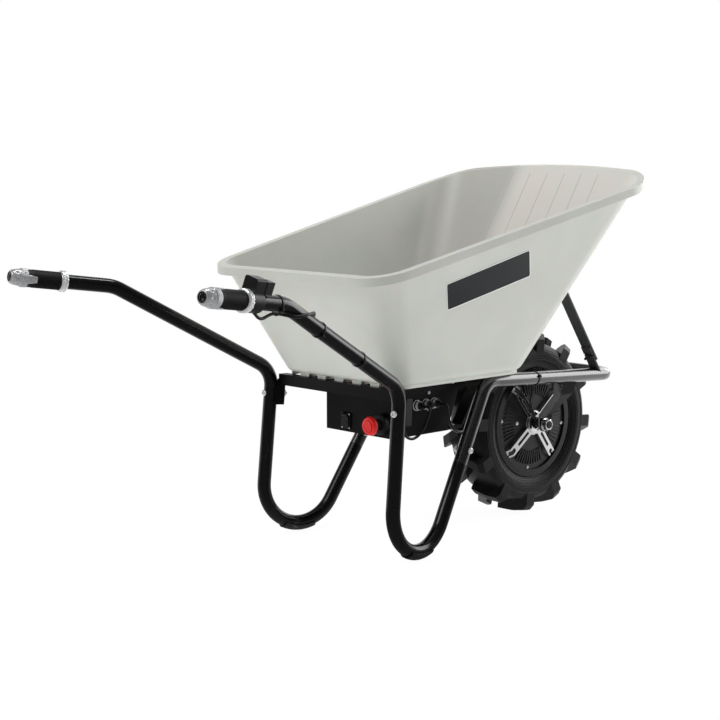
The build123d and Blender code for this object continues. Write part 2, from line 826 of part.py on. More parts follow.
# Section coordinates are (along the axle, radius), so the sketch is stood up before turning
section_plane = Plane(origin=(0, 0, 0), x_dir=(0, 0, 1), z_dir=(0, -1, 0))
carcass = revolve(section_plane * make_face(half_edges + mirrored_edges + [crown, ceiling]), Axis.Z)
cavity_edges = [inner_side, mirror(inner_side, about=Plane.YZ), ceiling,
                Line((bead_half_width - bead_width, bead_r), (bead_width - bead_half_width, bead_r))]
cavity = revolve(section_plane * make_face(cavity_edges), Axis.Z)
lug_foot_r = tyre_shoulder_r - 2 * tyre_wall
lug_side = [(tyre_half_width, lug_foot_r), (tyre_half_width, carcass_r + lug_bevel),
            (tyre_shoulder_half, tyre_r - lug_bevel), (tyre_shoulder_half / 2, tyre_r)]
lug_zone = Polyline(*lug_side, *[(-across, r) for across, r in reversed(lug_side)], close=True)
lug_ring = revolve(section_plane * make_face(lug_zone), Axis.Z)


def lug(hand):
    # One bar of the tread at the wheel's +X side, from a shoulder to just past the middle.
    # Seen from outside, its inner end leads in the rolling direction.
    sketch = make_face(Polyline((-hand * tyre_half_width, -lug_width / 2),
                                (-hand * tyre_half_width, lug_width / 2),
                                (hand * lug_past_middle, lug_sweep + lug_tip_width / 2),
                                (hand * lug_past_middle, lug_sweep - lug_tip_width / 2), close=True))
    plane = Plane(origin=(lug_foot_r, 0, 0), x_dir=(0, 0, 1), z_dir=(1, 0, 0))
    return plane * extrude(sketch, tyre_r)


lug_pitch = 360 / lug_count
lugs = []
for i in range(lug_count):
    lugs.append(Rot(0, 0, -(lug_start + i * lug_pitch)) * (lug(1) & lug_ring))
    lugs.append(Rot(0, 0, -(lug_start + (i + 0.5) * lug_pitch)) * (lug(-1) & lug_ring))
tyre = carcass.fuse(*lugs)
tyre = tyre.cut(cavity)

# Rim: flanges, bead seats and a drop centre outside, hub shell and cover seats inside
rim_half = bead_half_width + rim_flange_wall
seat_r = bead_r - weld_gap
recess_r = cover_r + hole_clearance
rim_side = [(recess_r, cover_seat), (recess_r, rim_half), (rim_flange_r, rim_half),
            (rim_flange_r, bead_half_width + weld_gap), (seat_r, bead_half_width + weld_gap),
            (seat_r, bead_half_width - bead_width - rim_wall), (rim_well_r, rim_well_half)]
rim_bore = [(hub_inner_r, -cover_seat), (hub_inner_r, cover_seat)]
rim = turned(rim_side + [(r, -z) for r, z in reversed(rim_side)] + rim_bore)

# Hub cover: crowned disc with a bearing pocket, cooling fins in four fans and screw holes
cover_face = cover_seat + cover_wall
bearing_top = cover_seat + rim_flange_wall
bearing_foot = bearing_top - bearing_width
pocket_r = bearing_r + cover_wall
crown_r = cover_screw_circle - screw_head_r - hole_clearance


def cover_height(r):
    # Flat under the screws, rising from there to the bearing pocket.
    return cover_face + cover_crown * max(0, (crown_r - r) / (crown_r - pocket_r))


def cover_layer(radii, low, high):
    # A ring that follows the cover's outer face between two heights above it.
    return turned([(r, cover_height(r) + low) for r in radii]
                  + [(r, cover_height(r) + high) for r in reversed(radii)])


cover = turned([(bearing_r, bearing_foot), (pocket_r, bearing_foot), (pocket_r, cover_seat),
                (cover_r, cover_seat), (cover_r, cover_face), (crown_r, cover_face),
                (pocket_r, cover_height(pocket_r)), (boss_bore_r, cover_height(pocket_r)),
                (boss_bore_r, bearing_top), (bearing_r, bearing_top)])
fin_bar = Pos((fin_inner_r + fin_outer_r) / 2, 0) * Rectangle(fin_outer_r - fin_inner_r, fin_width)
fin_turns = [cover_turn + 360 / fin_sectors * sector + fin_pitch * (i - (fins_per_sector - 1) / 2)
             for sector in range(fin_sectors) for i in range(fins_per_sector)]
fin_layer = cover_layer([fin_inner_r - fin_width, fin_outer_r + fin_width], -fin_height, fin_height)
fins = [Rot(0, 0, turn) * (extrude(fin_bar, 2 * rim_half) & fin_layer) for turn in fin_turns]
cover = cover.fuse(*fins)
screw_turns = [cover_turn + 360 / cover_screw_count * i for i in range(cover_screw_count)]
screw_seat = Plane(origin=(cover_screw_circle, 0, cover_height(cover_screw_circle)), z_dir=(0, 0, -1))
cover_screw = bolt(screw_seat, screw_r, 2 * cover_wall, screw_head_r, screw_head_height)
screw_hole = clear_hole(screw_seat, screw_r, cover_wall, 3 * cover_wall)
cover = cover.cut(*[Rot(0, 0, turn) * screw_hole for turn in screw_turns])
wheel_screws = [Rot(0, 0, turn) * cover_screw for turn in screw_turns]
rim_holes = [Rot(0, 0, turn) * screw_hole for turn in screw_turns]
rim = rim.cut(*rim_holes, *[mirror(hole, about=Plane.XY) for hole in rim_holes])

# Polished four-armed spider: its arms stand clear of the fins and fork round the cover's screws
boss_high = boss_face - spider_thickness / 2
boss_inner_r = boss_bore_r + spider_thickness
spider_bar = Pos(spider_arm_r / 2, 0) * Rectangle(spider_arm_r, spider_arm_width)
spider_slot = Pos((spider_slot_from + spider_slot_to) / 2, 0) * Rectangle(
    spider_slot_to - spider_slot_from, spider_slot_width)
spider_fork = Pos(spider_arm_r, 0) * SlotOverall(4 * spider_fork_gap, spider_fork_gap)
spider_outline = spider_bar - spider_slot - spider_fork
spider_foot = cover_face + weld_gap / 2
spider_layer = turned([(boss_inner_r, boss_high), (spider_bend_r, spider_face),
                       (spider_arm_r, spider_foot + spider_thickness / 2), (spider_arm_r, spider_foot),
                       (spider_arm_r - spider_thickness, spider_foot),
                       (spider_bend_r - spider_thickness / 2, spider_face - spider_thickness),
                       (boss_inner_r, boss_high - spider_thickness)])
spider_arm = extrude(spider_outline, 2 * rim_half) & spider_layer
spider_arms = [Rot(0, 0, cover_turn + 360 / spider_arm_count * (i + 0.5)) * spider_arm
               for i in range(spider_arm_count)]
boss_low = cover_height(pocket_r) + weld_gap / 2
boss_foot_r = pocket_r + weld_gap
spider = turned([(boss_bore_r, boss_low), (boss_foot_r, boss_low), (boss_foot_r, boss_low + spider_thickness),
                 (boss_r, boss_low + spider_thickness), (boss_r, boss_high),
                 (boss_r - spider_thickness / 2, boss_face), (boss_inner_r, boss_face),
                 (boss_inner_r, boss_high), (boss_bore_r, boss_high)])
spider = spider.fuse(*spider_arms)

# Bearings, magnets, stator and axle
bearing_bore_r = axle_r + bearing_clearance
bearing = turned([(bearing_bore_r, bearing_foot), (bearing_r, bearing_foot), (bearing_r, bearing_top),
                  (bearing_bore_r, bearing_top)])
magnet_ring = turned([(hub_inner_r - magnet_thickness, -magnet_width / 2), (hub_inner_r, -magnet_width / 2),
                      (hub_inner_r, magnet_width / 2), (hub_inner_r - magnet_thickness, magnet_width / 2)])
stator_sketch = Circle(stator_r) - Circle(axle_r)
slot_middle = stator_r - stator_slot_depth / 2 - 2 * weld_gap
stator_sketch -= PolarLocations(slot_middle, stator_slots) * Rectangle(stator_slot_depth, stator_slot_width)
stator = Pos(0, 0, -stator_width / 2) * extrude(stator_sketch, stator_width)
axle = turned([(0, -axle_half_length), (axle_end_r, -axle_half_length), (axle_end_r, -axle_shoulder),
               (axle_r, -axle_shoulder), (axle_r, axle_shoulder), (axle_end_r, axle_shoulder),
               (axle_end_r, axle_half_length), (0, axle_half_length)])

# Axle stays: pressed plates with a flange behind, leaning outwards from the axle to the bumper arms
stay_hole = wheel_at * Cylinder(axle_end_r + hole_clearance, 4 * axle_half_length)
stay_top = arm(stay_x)
stay_foot_y = axle_shoulder + stay_thickness / 2
fold_z = stay_top.Z - tube_r - stay_fold_high
stay_corner = (stay_x - stay_top_width / 2, stay_top.Z)
stay_outline = make_hull([*(Pos(axle_x, axle_z) * Circle(stay_eye_r)).edges(),
                          Line(stay_corner, (stay_x + stay_top_width / 2, stay_top.Z))])


def folded(offset, width):
    # Cross-section of the folded stay, as a band beside its middle line.
    line = FilletPolyline((stay_foot_y + offset, axle_z - 2 * stay_eye_r),
                          (stay_foot_y + offset, axle_z + stay_fold_low), (stay_top.Y + offset, fold_z),
                          (stay_top.Y + offset, stay_top.Z + tube_r), radius=2 * stay_thickness)
    return Plane.YZ.offset(axle_x - 4 * stay_eye_r) * extrude(trace(line, line_width=width), 12 * stay_eye_r)


stay_prism = Plane.XZ.offset(-2 * axle_half_length) * extrude(stay_outline, 2 * axle_half_length)
stay = stay_prism & folded(0, stay_thickness)
flange_foot = axle_z + stay_eye_r
flange_line = Line((axle_x - stay_eye_r + stay_thickness / 2, flange_foot),
                   (stay_corner[0] + stay_thickness / 2, stay_corner[1]))
flange_prism = Plane.XZ.offset(-2 * axle_half_length) * extrude(
    trace(flange_line, line_width=stay_thickness), 2 * axle_half_length)
flange_reach = stay_flange - stay_thickness / 2
flange_face = make_face(Polyline(
    (stay_foot_y, flange_foot - stay_thickness), (stay_foot_y, axle_z + stay_fold_low), (stay_top.Y, fold_z),
    (stay_top.Y, stay_top.Z), (stay_top.Y + stay_flange / 2, stay_top.Z - tube_r),
    (stay_top.Y + flange_reach, fold_z), (stay_foot_y + flange_reach, axle_z + stay_fold_low),
    (stay_foot_y + stay_thickness, flange_foot - stay_thickness), close=True))
flange_band = Plane.YZ.offset(axle_x - 4 * stay_eye_r) * extrude(flange_face, 12 * stay_eye_r)
stay = stay + (flange_prism & flange_band)
stay = stay - bumper_room - stay_hole


def cross_plane(x, y, z):
    return Plane(origin=(x, y, z), z_dir=(0, -1, 0))


# A lug under each bumper arm, rounded below round the bolt that holds the stay
stay_bolt_x = stay_corner[0] + stay_thickness + stay_lug_width / 2
stay_bolt_z = arm(stay_bolt_x).Z - stay_lug_drop
lug_y = stay_top.Y - stay_thickness
lug_outline = Pos(stay_bolt_x, stay_bolt_z) * (
    Circle(stay_lug_width / 2) + Pos(0, stay_lug_drop / 2) * Rectangle(stay_lug_width, stay_lug_drop))
stay_lug = Plane.XZ.offset(-lug_y - stay_thickness / 2) * extrude(lug_outline, stay_thickness) - bumper_room
stay_bolt_plane = cross_plane(stay_bolt_x, lug_y + 1.5 * stay_thickness, stay_bolt_z)
stay_bolt_length = 2 * stay_thickness
stay_cut = clear_hole(stay_bolt_plane, bolt_r, stay_flange, 3 * stay_thickness)
stay -= stay_cut
stay_lugs = both_sides(stay_lug - stay_cut)
stay_bolts = both_sides(group([
    bolt(stay_bolt_plane, bolt_r, stay_bolt_length + nut_height + bolt_r, bolt_head_r, bolt_head_height),
    hexagon_nut(stay_bolt_plane.offset(stay_bolt_length), 2 * bolt_head_r, nut_height, bolt_r)]))
washer_y = axle_shoulder + stay_thickness
washer = turned([(axle_end_r, washer_y), (washer_r, washer_y), (washer_r, washer_y + washer_thickness),
                 (axle_end_r, washer_y + washer_thickness)])
axle_nut = hexagon_nut(Plane.XY.offset(washer_y + washer_thickness), axle_nut_af, axle_nut_height, axle_end_r)

# Battery box: folded tray with a raked front, hung between the rails
rake = (box_front_top_x - box_front_x) / (box_top_z - box_bottom_z)
rake_wall = box_wall * sqrt(1 + rake ** 2)


def box_profile(inset, front_inset, top):
    rise = top - box_bottom_z
    return make_face(Polyline((box_rear_x + inset, box_bottom_z + inset),
                              (box_front_x - front_inset + rake * inset, box_bottom_z + inset),
                              (box_front_x - front_inset + rake * rise, top),
                              (box_rear_x + inset, top), close=True))


box_outer = extrude(Plane.XZ * box_profile(0, 0, box_top_z), box_half_width, both=True)
box_outer = fillet(box_outer.edges().filter_by(Axis.Z).sort_by(Axis.X)[:2], box_bend)
box_inner = extrude(Plane.XZ * box_profile(box_wall, rake_wall, box_top_z + box_wall),
                    box_half_width - box_wall, both=True)
box_tab = box_between((box_front_x - box_bend, hanger_y - hanger_width / 2, box_bottom_z),
                      (box_front_x + box_tab_length, hanger_y + hanger_width / 2, box_bottom_z + box_wall))
battery_box = box_outer - box_inner
battery_box = battery_box + box_tab + mirrored(box_tab)
lid_front_x = box_front_x + rake * (box_top_z - box_bottom_z)
box_lid = box_between((box_rear_x, -box_half_width, box_top_z),
                      (lid_front_x, box_half_width, box_top_z + box_wall))
box_lid = fillet(box_lid.edges().filter_by(Axis.Z), box_bend)
battery_low = (battery_rear_x, battery_middle_y - battery_half_width, box_bottom_z + box_wall)
battery_high = (battery_rear_x + battery_length, battery_middle_y + battery_half_width,
                box_bottom_z + box_wall + battery_height)
battery_pack = box_between(battery_low, battery_high)
battery_pack = fillet(battery_pack.edges().filter_by(Axis.Z), box_bend)
right_inside_y = box_wall - box_half_width
controller = box_between((controller_rear_x, right_inside_y, controller_bottom_z),
                         (controller_rear_x + controller_length, right_inside_y + controller_depth,
                          controller_bottom_z + controller_height))
rib_floor_y = right_inside_y + controller_depth - controller_rib_depth
rib_room = box_between((controller_rear_x, rib_floor_y, controller_bottom_z),
                       (controller_rear_x + controller_length, right_inside_y + controller_depth,
                        controller_bottom_z + controller_rib_gap))
controller = controller.cut(*[Pos(0, 0, controller_rib_pitch * i + controller_rib_gap) * rib_room
                              for i in range(controller_ribs)])

# Straps that hang the box from the front crossbar
hanger_z = box_bottom_z + box_wall + hanger_thickness / 2
hanger_top_z = deck_z - front_bar_thickness - hanger_thickness / 2
hanger_foot_x = box_front_x + box_tab_length - hanger_foot
hanger_line = [(hanger_foot_x, hanger_z), (hanger_foot_x + hanger_foot, hanger_z),
               (front_bar_x + hanger_thickness, hanger_top_z), (front_bar_x + front_bar_width, hanger_top_z)]
hanger = strip(hanger_line, hanger_thickness, hanger_width, hanger_y)
hanger_foot_at = (hanger_foot_x + hanger_foot_bolt, hanger_y, hanger_z + hanger_thickness / 2)
hanger_foot_plane = Plane(origin=hanger_foot_at, z_dir=(0, 0, -1))
hanger_top_at = (front_bar_x + hanger_top_bolt, hanger_y, hanger_top_z - hanger_thickness / 2)
hanger_top_plane = Plane(origin=hanger_top_at, z_dir=(0, 0, 1))
top_stack = hanger_thickness + front_bar_thickness
foot_stack = hanger_thickness + box_wall
hanger_foot_hole = clear_hole(hanger_foot_plane, small_bolt_r, hanger_thickness, 3 * hanger_thickness)
hanger_top_hole = clear_hole(hanger_top_plane, small_bolt_r, hanger_thickness, top_stack)
hanger = hanger - hanger_foot_hole - hanger_top_hole
battery_box = battery_box - hanger_foot_hole - mirrored(hanger_foot_hole)
front_crossbar = front_crossbar - hanger_top_hole - mirrored(hanger_top_hole)
hanger_bolts = both_sides(group([
    bolt(hanger_foot_plane, small_bolt_r, foot_stack + 2 * small_head_height, small_head_r,
         small_head_height),
    hexagon_nut(hanger_foot_plane.offset(foot_stack), 2 * small_head_r, small_head_height, small_bolt_r),
    bolt(hanger_top_plane, small_bolt_r, top_stack, small_head_r, small_head_height)]))

# Screws of the box: four through the rails, two that hold the controller on the right wall
rail_screw_z = deck_z - rail_height / 2
rail_screw_planes = [cross_plane(x, rail_inner_y + rail_wall, rail_screw_z)
                     for x in (box_rear_x + rail_screw_rear, box_front_x + rail_screw_front)]
rail_screw_length = rail_wall + 2 * box_wall + rail_inner_y - box_half_width
controller_screw_x = controller_rear_x + controller_screw_at
controller_screw_planes = [Plane(origin=(controller_screw_x, -box_half_width, controller_bottom_z + z),
                                 z_dir=(0, 1, 0)) for z in (controller_screw_low, controller_screw_high)]
rail_screws = [bolt(p, screw_r, rail_screw_length, screw_head_r, screw_head_height)
               for p in rail_screw_planes]
controller_screws = [bolt(p, screw_r, box_wall + controller_depth / 2, screw_head_r, screw_head_height)
                     for p in controller_screw_planes]
for plane in rail_screw_planes:
    hole = clear_hole(plane, screw_r, rail_wall, 3 * rail_wall)
    rail -= hole
    battery_box = battery_box - hole - mirrored(hole)
for plane in controller_screw_planes:
    hole = clear_hole(plane, screw_r, box_wall, controller_depth)
    battery_box -= hole
    controller -= hole

# Round screw connectors on the right wall
connector_section = [(0, -box_wall), (connector_thread_r, -box_wall), (connector_thread_r, 0),
                     (connector_flange_r, 0), (connector_flange_r, connector_flange),
                     (connector_neck_r, connector_flange), (connector_neck_r, connector_neck),
                     (connector_nut_r, connector_neck), (connector_nut_r, connector_nut),
                     (connector_taper_r, connector_taper), (connector_boot_r, connector_boot),
                     (connector_boot_r, connector_reach), (0, connector_reach)]
connector_planes = [Plane(origin=(x, -box_half_width, connector_z), z_dir=(0, -1, 0)) for x in connector_x]
connectors = group([turned(connector_section, plane) for plane in connector_planes])
for plane in connector_planes:
    battery_box -= clear_hole(plane, connector_thread_r, box_wall, box_wall)

# Charge socket with its flap, on the rear wall
socket_plane = Plane(origin=(box_rear_x, socket_y, socket_z), x_dir=(0, -1, 0), z_dir=(-1, 0, 0))
flange = extrude(RectangleRounded(socket_width, socket_height, socket_corner), socket_flange)
socket = flange + Pos(0, 0, -socket_depth) * extrude(Circle(socket_r), socket_depth)
socket -= Pos(0, 0, -socket_bore_depth) * extrude(Circle(socket_r - socket_wall), 2 * socket_depth)
hinge_y = socket_height / 2 - cap_knuckle_r - cap_margin
hinge_h = socket_flange + cap_gap + cap_knuckle_r
ear_x = cap_knuckle_length / 2 + cap_gap + cap_ear_width / 2


def across(x, y, h, r, length):
    return Pos(x, y, h) * Rot(0, 90, 0) * Cylinder(r, length)


ears = []
for x in (-ear_x, ear_x):
    ear = across(x, hinge_y, hinge_h, cap_knuckle_r, cap_ear_width)
    ear += Pos(x, hinge_y, hinge_h / 2) * Box(cap_ear_width, 2 * cap_knuckle_r, hinge_h)
    ears.append(ear - across(x, hinge_y, hinge_h, cap_pin_r + running_clearance, 2 * cap_ear_width))
socket = socket.fuse(*ears)
flap_top = hinge_y - cap_knuckle_r - cap_margin
flap = Pos(0, flap_top - cap_height / 2, socket_flange + cap_gap) * extrude(
    RectangleRounded(cap_width, cap_height, cap_corner), cap_thickness)
neck_y = (flap_top - cap_thickness + hinge_y) / 2
neck = Pos(0, neck_y, socket_flange + cap_gap + cap_thickness / 2) * Box(
    cap_knuckle_length, hinge_y - flap_top + cap_thickness, cap_thickness)
knuckle = across(0, hinge_y, hinge_h, cap_knuckle_r, cap_knuckle_length)
pin = across(0, hinge_y, hinge_h, cap_pin_r, cap_knuckle_length + 2 * cap_gap + 2 * cap_ear_width)
charge_cap = socket_plane * flap.fuse(neck, knuckle, pin)
charge_socket = socket_plane * socket
battery_box -= clear_hole(socket_plane, socket_r, box_wall * 2, box_wall)
socket_screws = []
for across_way, up_way in ((-1, -1), (-1, 1), (1, -1), (1, 1)):
    place = (across_way * socket_screw_across, up_way * socket_screw_up, socket_flange)
    plane = socket_plane * Plane(origin=place, z_dir=(0, 0, -1))
    hole = clear_hole(plane, socket_screw_r, socket_flange, 2 * socket_flange)
    socket_screws.append(bolt(plane, socket_screw_r, socket_flange + box_wall, socket_screw_head_r,
                              socket_screw_head))
    charge_socket -= hole
    battery_box -= hole
box_screws = group([*rail_screws, *[mirrored(s) for s in rail_screws], *controller_screws, *socket_screws])

# Emergency stop: collar and contact block, plunger, mushroom head
stop_plane = Plane(origin=(box_rear_x, stop_y, stop_z), x_dir=(0, -1, 0), z_dir=(-1, 0, 0))
stop_bore_r = stop_plunger_r + running_clearance
plunger_low = stop_floor + stop_travel + stop_spare
plunger_high = plunger_low + stop_plunger_length
stop_base = turned([(0, -box_wall), (stop_neck_r, -box_wall), (stop_neck_r, 0), (stop_collar_r, 0),
                    (stop_collar_r, stop_collar_depth - stop_collar_bevel),
                    (stop_collar_r - stop_collar_bevel, stop_collar_depth), (stop_bore_r, stop_collar_depth),
                    (stop_bore_r, stop_floor), (0, stop_floor)], stop_plane)
stop_block_at = stop_plane * Pos(0, 0, -box_wall - stop_block_depth / 2)
stop_base += stop_block_at * Box(stop_block, stop_block, stop_block_depth)
stop_plunger = turned([(0, plunger_low), (stop_plunger_r, plunger_low), (stop_plunger_r, plunger_high),
                       (stop_spindle_r, plunger_high), (stop_spindle_r, plunger_high + stop_spindle_length),
                       (0, plunger_high + stop_spindle_length)], stop_plane)
head_bore = stop_spindle_r + running_clearance
head_floor = plunger_high + stop_spindle_length + cap_gap
head_top = plunger_high + stop_head_depth
stop_head = turned([(head_bore, plunger_high), (stop_head_base_r, plunger_high),
                    (stop_head_r, plunger_high + stop_head_edge_low),
                    (stop_head_r, plunger_high + stop_head_edge_high),
                    (stop_head_shoulder_r, head_top - stop_head_shoulder),
                    (stop_dome_r, head_top - stop_dome_rise), (stop_dome_r, head_top), (0, head_top),
                    (0, head_floor), (head_bore, head_floor)], stop_plane)
battery_box -= clear_hole(stop_plane, stop_neck_r, 2 * box_wall, box_wall)

# Grips, modelled on the left handle with +Z along the tube from its end and +X up
grip_up = (Vector(0, 0, 1) - grip_way * grip_way.Z).normalized()
grip_in = grip_way.cross(grip_up)
grip_plane = Plane(origin=grip_end, x_dir=grip_up, z_dir=grip_way)


def grip_cap(bore_r):
    # End cap with a rounded, dimpled nose and a centre hole; pointed tongues reach over the sleeve.
    tip = grip_cap_length + tongue_length
    nose = ThreePointArc((grip_cap_nose_r, 0), (grip_cap_cheek_r, grip_cap_nose / 2),
                         (grip_cap_r, grip_cap_nose))
    edges = [nose, Polyline((grip_cap_r, grip_cap_nose), (grip_cap_r, tip), (grip_r + running_clearance, tip),
                            (grip_r + running_clearance, grip_cap_length), (bore_r, grip_cap_length),
                            (bore_r, grip_cap_wall), (grip_cap_hole_r, grip_cap_wall), (grip_cap_hole_r, 0),
                            (grip_cap_nose_r, 0))]
    cap = revolve(Plane.XZ * make_face(edges), Axis.Z)
    half = tongue_gap / 2
    reach = grip_cap_r * sin(radians(180 / tongue_count))
    gap_side = [(grip_cap_length, half), (tip - half, half), (tip, reach), (tip + half, reach)]
    gap_side += [(along, -across) for along, across in reversed(gap_side)]
    gap = make_face(Polyline(*gap_side, close=True))
    cutter = Plane(origin=(0, 0, 0), x_dir=(0, 0, 1), z_dir=(1, 0, 0)) * extrude(gap, 2 * grip_cap_r)
    gaps = [Rot(0, 0, 360 / tongue_count * i) * cutter for i in range(tongue_count)]
    dimple_plane = Plane(origin=(dimple_floor_r, 0, dimple_at), z_dir=(1, 0, 0))
    dimple = dimple_plane * extrude(Circle(dimple_r), grip_cap_r)
    dimples = [Rot(0, 0, 360 / dimple_count * (i + 0.5)) * dimple for i in range(dimple_count)]
    return cap.cut(*gaps, *dimples)


def grip_sleeve(bore_r):
    return turned([(bore_r, grip_cap_length), (grip_r, grip_cap_length), (grip_r, grip_length),
                   (bore_r, grip_length)])


def grip_ring(bore_r):
    bevel = grip_ring_width / 3
    return turned([(bore_r, grip_length), (grip_ring_r - bevel, grip_length),
                   (grip_ring_r, grip_length + bevel), (grip_ring_r, grip_length + 2 * bevel),
                   (grip_ring_r - bevel, grip_length + grip_ring_width),
                   (bore_r, grip_length + grip_ring_width)])


grip_left = grip_plane * grip_sleeve(tube_r)
grip_cap_left = grip_plane * grip_cap(tube_r)
grip_ring_left = grip_plane * grip_ring(tube_r)
turning_r = tube_r + running_clearance
carrier_r = turning_r + throttle_tube_wall
housing_low = grip_length + grip_ring_width + housing_gap
housing_high = housing_low + housing_thickness
carrier_end = (housing_low + housing_high) / 2
throttle_tube = turned([(turning_r, grip_cap_wall), (carrier_r, grip_cap_wall),
                        (carrier_r, carrier_end - housing_gap), (turning_r, carrier_end - housing_gap)])
throttle_tube = mirrored(grip_plane * throttle_tube)
throttle_sleeve = mirrored(grip_plane * grip_sleeve(carrier_r))
throttle_cap = mirrored(grip_plane * grip_cap(carrier_r))
throttle_ring = mirrored(grip_plane * grip_ring(carrier_r))

# Throttle housing and charge gauge, on the right handle, rolled a little outboard
housing_plane = grip_plane * Rot(0, 0, -housing_roll)
housing_sketch = Pos(housing_top / 2, (housing_inboard - housing_outboard) / 2) * Rectangle(
    housing_top, housing_inboard + housing_outboard)
housing_sketch = fillet(housing_sketch.vertices().sort_by(Axis.X)[-2:], housing_corner) + Circle(housing_r)
housing = Pos(0, 0, housing_low) * extrude(housing_sketch, housing_thickness)
housing -= Pos(0, 0, housing_low) * extrude(Circle(carrier_r + housing_gap), carrier_end - housing_low)
housing -= Pos(0, 0, housing_low) * extrude(Circle(tube_r), housing_thickness)
throttle_housing = mirrored(housing_plane * housing)
gauge_size = (gauge_top - gauge_bottom, gauge_inboard + gauge_outboard, gauge_length)
gauge_at = ((gauge_top + gauge_bottom) / 2, (gauge_inboard - gauge_outboard) / 2,
            housing_high + gauge_length / 2)
gauge = Pos(*gauge_at) * Box(*gauge_size)
gauge = chamfer(gauge.faces().sort_by(Axis.Z)[-1].edges(), gauge_bevel)
charge_gauge = mirrored(housing_plane * gauge)

# Leads: straight runs joined by tangent arcs


def lead(points):
    points = [Vector(p) for p in points]
    radii = []
    for before, here, after in zip(points, points[1:], points[2:]):
        run = min((here - before).length, (after - here).length)
        turn = (here - before).get_angle(after - here)
        radii.append(lead_fillet_share * run / tan(radians(turn) / 2))
    path = FilletPolyline(*points, radius=radii)
    print("lead", round(path.length), "mm long, radii", [round(r) for r in radii])
    return sweep(Plane(origin=path @ 0, z_dir=path % 0) * Circle(lead_d / 2), path=path)


def right(v):
    return Vector(v.X, -v.Y, v.Z)


slope_up = (Vector(0, 0, 1) - slope_way * slope_way.Z).normalized()
slope_in = slope_way.cross(slope_up)
slope_length = (elbow - handle_bend).length
grip_run = (handle_bend - grip_end).length
bend_cut = handle_bend_radius * tan(radians(grip_way.get_angle(slope_way) / 2))
beside = tube_r + lead_d / 2 + lead_gap


def by_grip(up, inward, along):
    return right(grip_end + grip_up * up + grip_in * inward + grip_way * along)


def by_slope(up, inward, along):
    return right(handle_bend + slope_up * up + slope_in * inward + slope_way * along)


tie_1_at = grip_run - bend_cut - tie_width
connector_end_y = -box_half_width - connector_reach
lead_turn_y = connector_end_y - lead_turn
top_up = beside * cos(radians(lead_side))
top_in = beside * sin(radians(lead_side))
throttle_route = [
    by_grip(lead_root - housing_r, 0, carrier_end + lead_d),
    by_grip(-housing_r - lead_exit_drop, 0, housing_high + lead_exit_run),
    by_grip(-beside, 0, tie_1_at - lead_straight / 2), by_grip(-beside, 0, tie_1_at + lead_straight / 2),
    by_slope(-15, -18, 24), by_slope(3, -22, 50), by_slope(17, -12.5, 74), by_slope(21, 2, 94),
    by_slope(top_up, top_in, tie_2_at - lead_straight / 2), by_slope(top_up, top_in, slope_length - 62),
    Vector(-130, -187, 389), Vector(-106, -185, 371), Vector(-80, -177, 358), Vector(-71, -166, 325),
    Vector(-61, -153, 278), Vector(-41, -142, 250), Vector(-16, -139, 241), Vector(8, -140, 253),
    Vector(22, -142, 277), Vector(connector_x[0], lead_turn_y, connector_z),
    Vector(connector_x[0], connector_end_y, connector_z)]
throttle_cable = lead(throttle_route) - throttle_housing


def by_arm(x):
    p = arm(x)
    return Vector(x, beside * cos(radians(lead_drop)) - p.Y, p.Z - beside * sin(radians(lead_drop)))


motor_route = [
    Vector(connector_x[2], connector_end_y, connector_z), Vector(connector_x[2], lead_turn_y, connector_z),
    Vector(89, -140, 276), Vector(104, -134, 254), Vector(128, -128, 239), Vector(160, -125, 237),
    Vector(190, -124, 254), Vector(214, -122, 284), Vector(236, -119, 312), by_arm(268),
    by_arm(tie_4_x + lead_straight), Vector(418, -92, 293), Vector(442, -62, 262),
    Vector(axle_x - 8.4, -61.5, axle_z + 7.1)]
motor_cable = lead(motor_route)


def tie(middle, cord, way):
    # A strap drawn round a tube and the lead beside it.
    plane = Plane(origin=middle, x_dir=cord - middle, z_dir=way)
    away = (cord - middle).length
    inside = make_hull([*Circle(tube_r + weld_gap).edges(),
                        *(Pos(away, 0) * Circle(lead_d / 2 + weld_gap)).edges()])
    band = offset(inside, tie_thickness) - inside
    return plane * extrude(band, tie_width / 2, both=True)


ties = [tie(by_grip(0, 0, tie_1_at), by_grip(-beside, 0, tie_1_at), right(grip_way))]
for place in (tie_2_at, tie_3_at):
    ties.append(tie(by_slope(0, 0, place), by_slope(top_up, top_in, place), right(slope_way)))
arm_way = right(front_corner - knee)
ties.append(tie(right(arm(tie_4_x)), by_arm(tie_4_x), arm_way))

